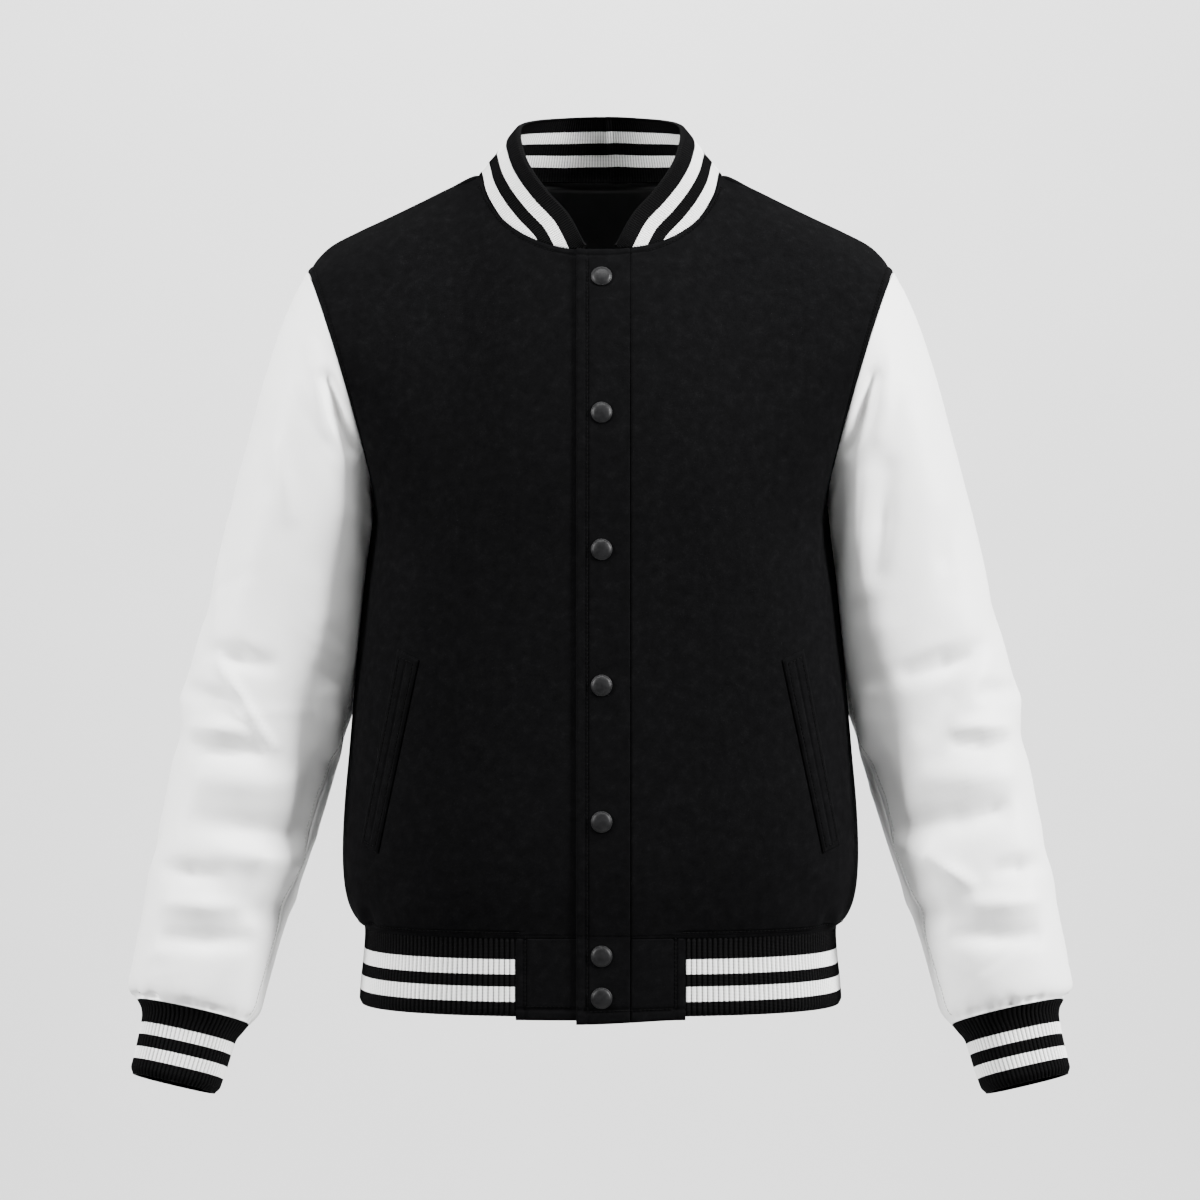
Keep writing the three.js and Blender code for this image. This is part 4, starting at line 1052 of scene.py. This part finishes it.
def stitches(name, runs, material, step=3.4, long=2.5, thick=0.28, sides=5):
    """Sewing thread as short rods laid along paths on the cloth."""
    points, faces = [], []
    for path, facing in runs:
        run = lengths(path)
        for start in np.arange(1.0, run[-1] - long, step):
            first, last = [np.array([np.interp(s, run, path[:, k]) for k in range(3)])
                           for s in (start, start + long)]
            out = unit(np.array([np.interp(start + long / 2, run, facing[:, k]) for k in range(3)]))
            along = unit(last - first)
            side = unit(np.cross(along, out))
            n = len(points)
            for lift, end in ((0.0, first), (0.32, first + along * 0.5), (0.32, last - along * 0.5),
                              (0.0, last)):
                for t in range(sides):
                    angle = 2 * math.pi * t / sides
                    points.append(end + out * (lift + thick * math.sin(angle))
                                  + side * thick * math.cos(angle))
            faces += grid_faces(4, sides, True, n, False).tolist()
            faces.append([n + t for t in range(sides - 1, -1, -1)])
            faces.append([n + 3 * sides + t for t in range(sides)])
    obj = make_mesh(name, points, faces, [material])
    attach(obj, "root")
    return obj


def body_lines():
    """Paths of the stitching on the body, sunk a little into its grooves, and their facing."""
    runs = []

    def sew(face, share, row, lapped=False):
        runs.append(body_at(face, share, row, lapped, -0.25))

    def sew_level(start, end, count, lapped):
        shares = [share_at(-1, x, [bottom])[0] for x in np.linspace(start, end, count)]
        sew(-1, shares, bottom, lapped)

    rows_up = np.linspace(ARM_ROW + 0.35, TOP_ROW - 0.4, 90)
    for face in (-1, 1):
        for side in (1, -1):
            sew(face, side * (1 - ARMHOLE_LINE / ACROSS), rows_up, face < 0 < side)
    down = row_of(NECK_AT - NECK_LINE)
    end = NECK_SHARE - 0.01
    sew(-1, np.linspace(0.09, end, 90), down, True)
    sew(-1, np.linspace(-end, -0.09, 90), down)
    sew(1, np.linspace(-end, end, 160), down)
    low = row_of(HEM_AT + HEM_LINE)
    sew(-1, np.linspace(0.2, 0.995, 140), low, True)
    sew(-1, np.linspace(-0.2, -0.995, 140), low)
    sew(1, np.linspace(-0.995, 0.995, 280), low)
    bottom = row_of(BOTTOM_LINE)
    line = np.linspace(bottom, TOP_ROW - 0.45, 220)
    sew(-1, share_at(-1, PLACKET_EDGE + PLACKET_LINE, line), line, True)
    sew_level(PLACKET_EDGE + 9.5, TAB_EDGE - TAB_LINE, 60, True)
    sew_level(-TAB_EDGE + TAB_LINE, PLACKET_EDGE - 2, 40, False)
    line = np.linspace(bottom, HEM_ROW + 0.6, 60)
    for side in (1, -1):
        sew(-1, share_at(-1, side * (TAB_EDGE - TAB_LINE), line), line, side > 0)
    return runs


(top_left, under_left), lines_left = sleeve(1)
(top_right, under_right), lines_right = sleeve(-1)
cuff_left = cuff(1)
cuff_right = cuff(-1)
welt_left, welt_line_left = welt(1)
welt_right, welt_line_right = welt(-1)
snaps = [snap(i + 1, z) for i, z in enumerate(SNAP_HEIGHTS)]
body_stitches = stitches("stitches_body", body_lines() + [welt_line_left, welt_line_right],
                         BLACK_THREAD)
stitches("stitches_sleeves", lines_left + lines_right, WHITE_THREAD)


# Stage, light and camera


def backdrop():
    """A floor that curves up into a wall; y and z of its profile, in metres."""
    material = plain_material("pale_backdrop", 0.1, 0.95, (3, 2, 0.5), [(0.3, 0.70), (0.7, 0.72)])
    level, bend_at, radius, half_width = -2.8, 3.0, 1.4, 5.0
    turns = np.linspace(0.1, math.pi / 2, 14)
    profile = [(-6.0, level), (bend_at, level)]
    profile += [(bend_at + radius * math.sin(a), level + radius * (1 - math.cos(a))) for a in turns]
    profile += [(bend_at + radius, 5.0)]
    points = np.array([[x, y, z] for y, z in profile for x in (-half_width, half_width)]) / MM
    faces = [(2 * k, 2 * k + 1, 2 * k + 3, 2 * k + 2) for k in range(len(profile) - 1)]
    return make_mesh("backdrop", points, faces, [material])


floor = backdrop()


def area_light(name, place, target, size, watts):
    """A soft box at a place, turned to a target, in metres."""
    data = bpy.data.lights.new(name, "AREA")
    data.shape = "RECTANGLE"
    data.size, data.size_y = size
    data.energy = watts
    lamp = add(name, data)
    lamp.location = place
    lamp.rotation_euler = (Vector(target) - Vector(place)).to_track_quat("-Z", "Y").to_euler()


area_light("top", (0, -0.9, 2.3), (0, 0, -0.3), (2.2, 0.5), 140)
area_light("left_box", (-2.4, -1.15, 0.75), (-0.1, 0, -0.4), (0.5, 1.6), 215)
area_light("right_box", (2.4, -1.05, 0.75), (0.1, 0, -0.4), (0.5, 1.6), 330)
area_light("wall", (0, 2.2, 2.6), (0, 4.4, -1.3), (3.5, 1.0), 325)
area_light("low_wall", (0, 1.6, -2.5), (0, 4.4, -1.4), (3.0, 0.6), 55)

# The world lights the jacket weakly and shows pale behind it.
world = bpy.data.worlds.new("studio")
world.use_nodes = True
tree = world.node_tree
weak = tree.nodes["Background"]
weak.inputs["Color"].default_value = (1, 1, 1, 1)
weak.inputs["Strength"].default_value = 0.02
pale = node(tree, "Background", Color=(0.9, 0.9, 0.9, 1), Strength=1.6)
both = node(tree, "MixShader")
tree.links.new(node(tree, "LightPath").outputs["Is Camera Ray"], both.inputs[0])
tree.links.new(weak.outputs[0], both.inputs[1])
tree.links.new(pale.outputs[0], both.inputs[2])
tree.links.new(both.outputs[0], tree.nodes["World Output"].inputs["Surface"])
bpy.context.scene.world = world

data = bpy.data.cameras.new("camera")
data.sensor_width = 36
data.lens = 112.5
camera = add("camera", data)
camera.location = (-0.0004, -3.0, -0.3376)
camera.rotation_euler = (math.pi / 2, 0, 0)
bpy.context.scene.camera = camera
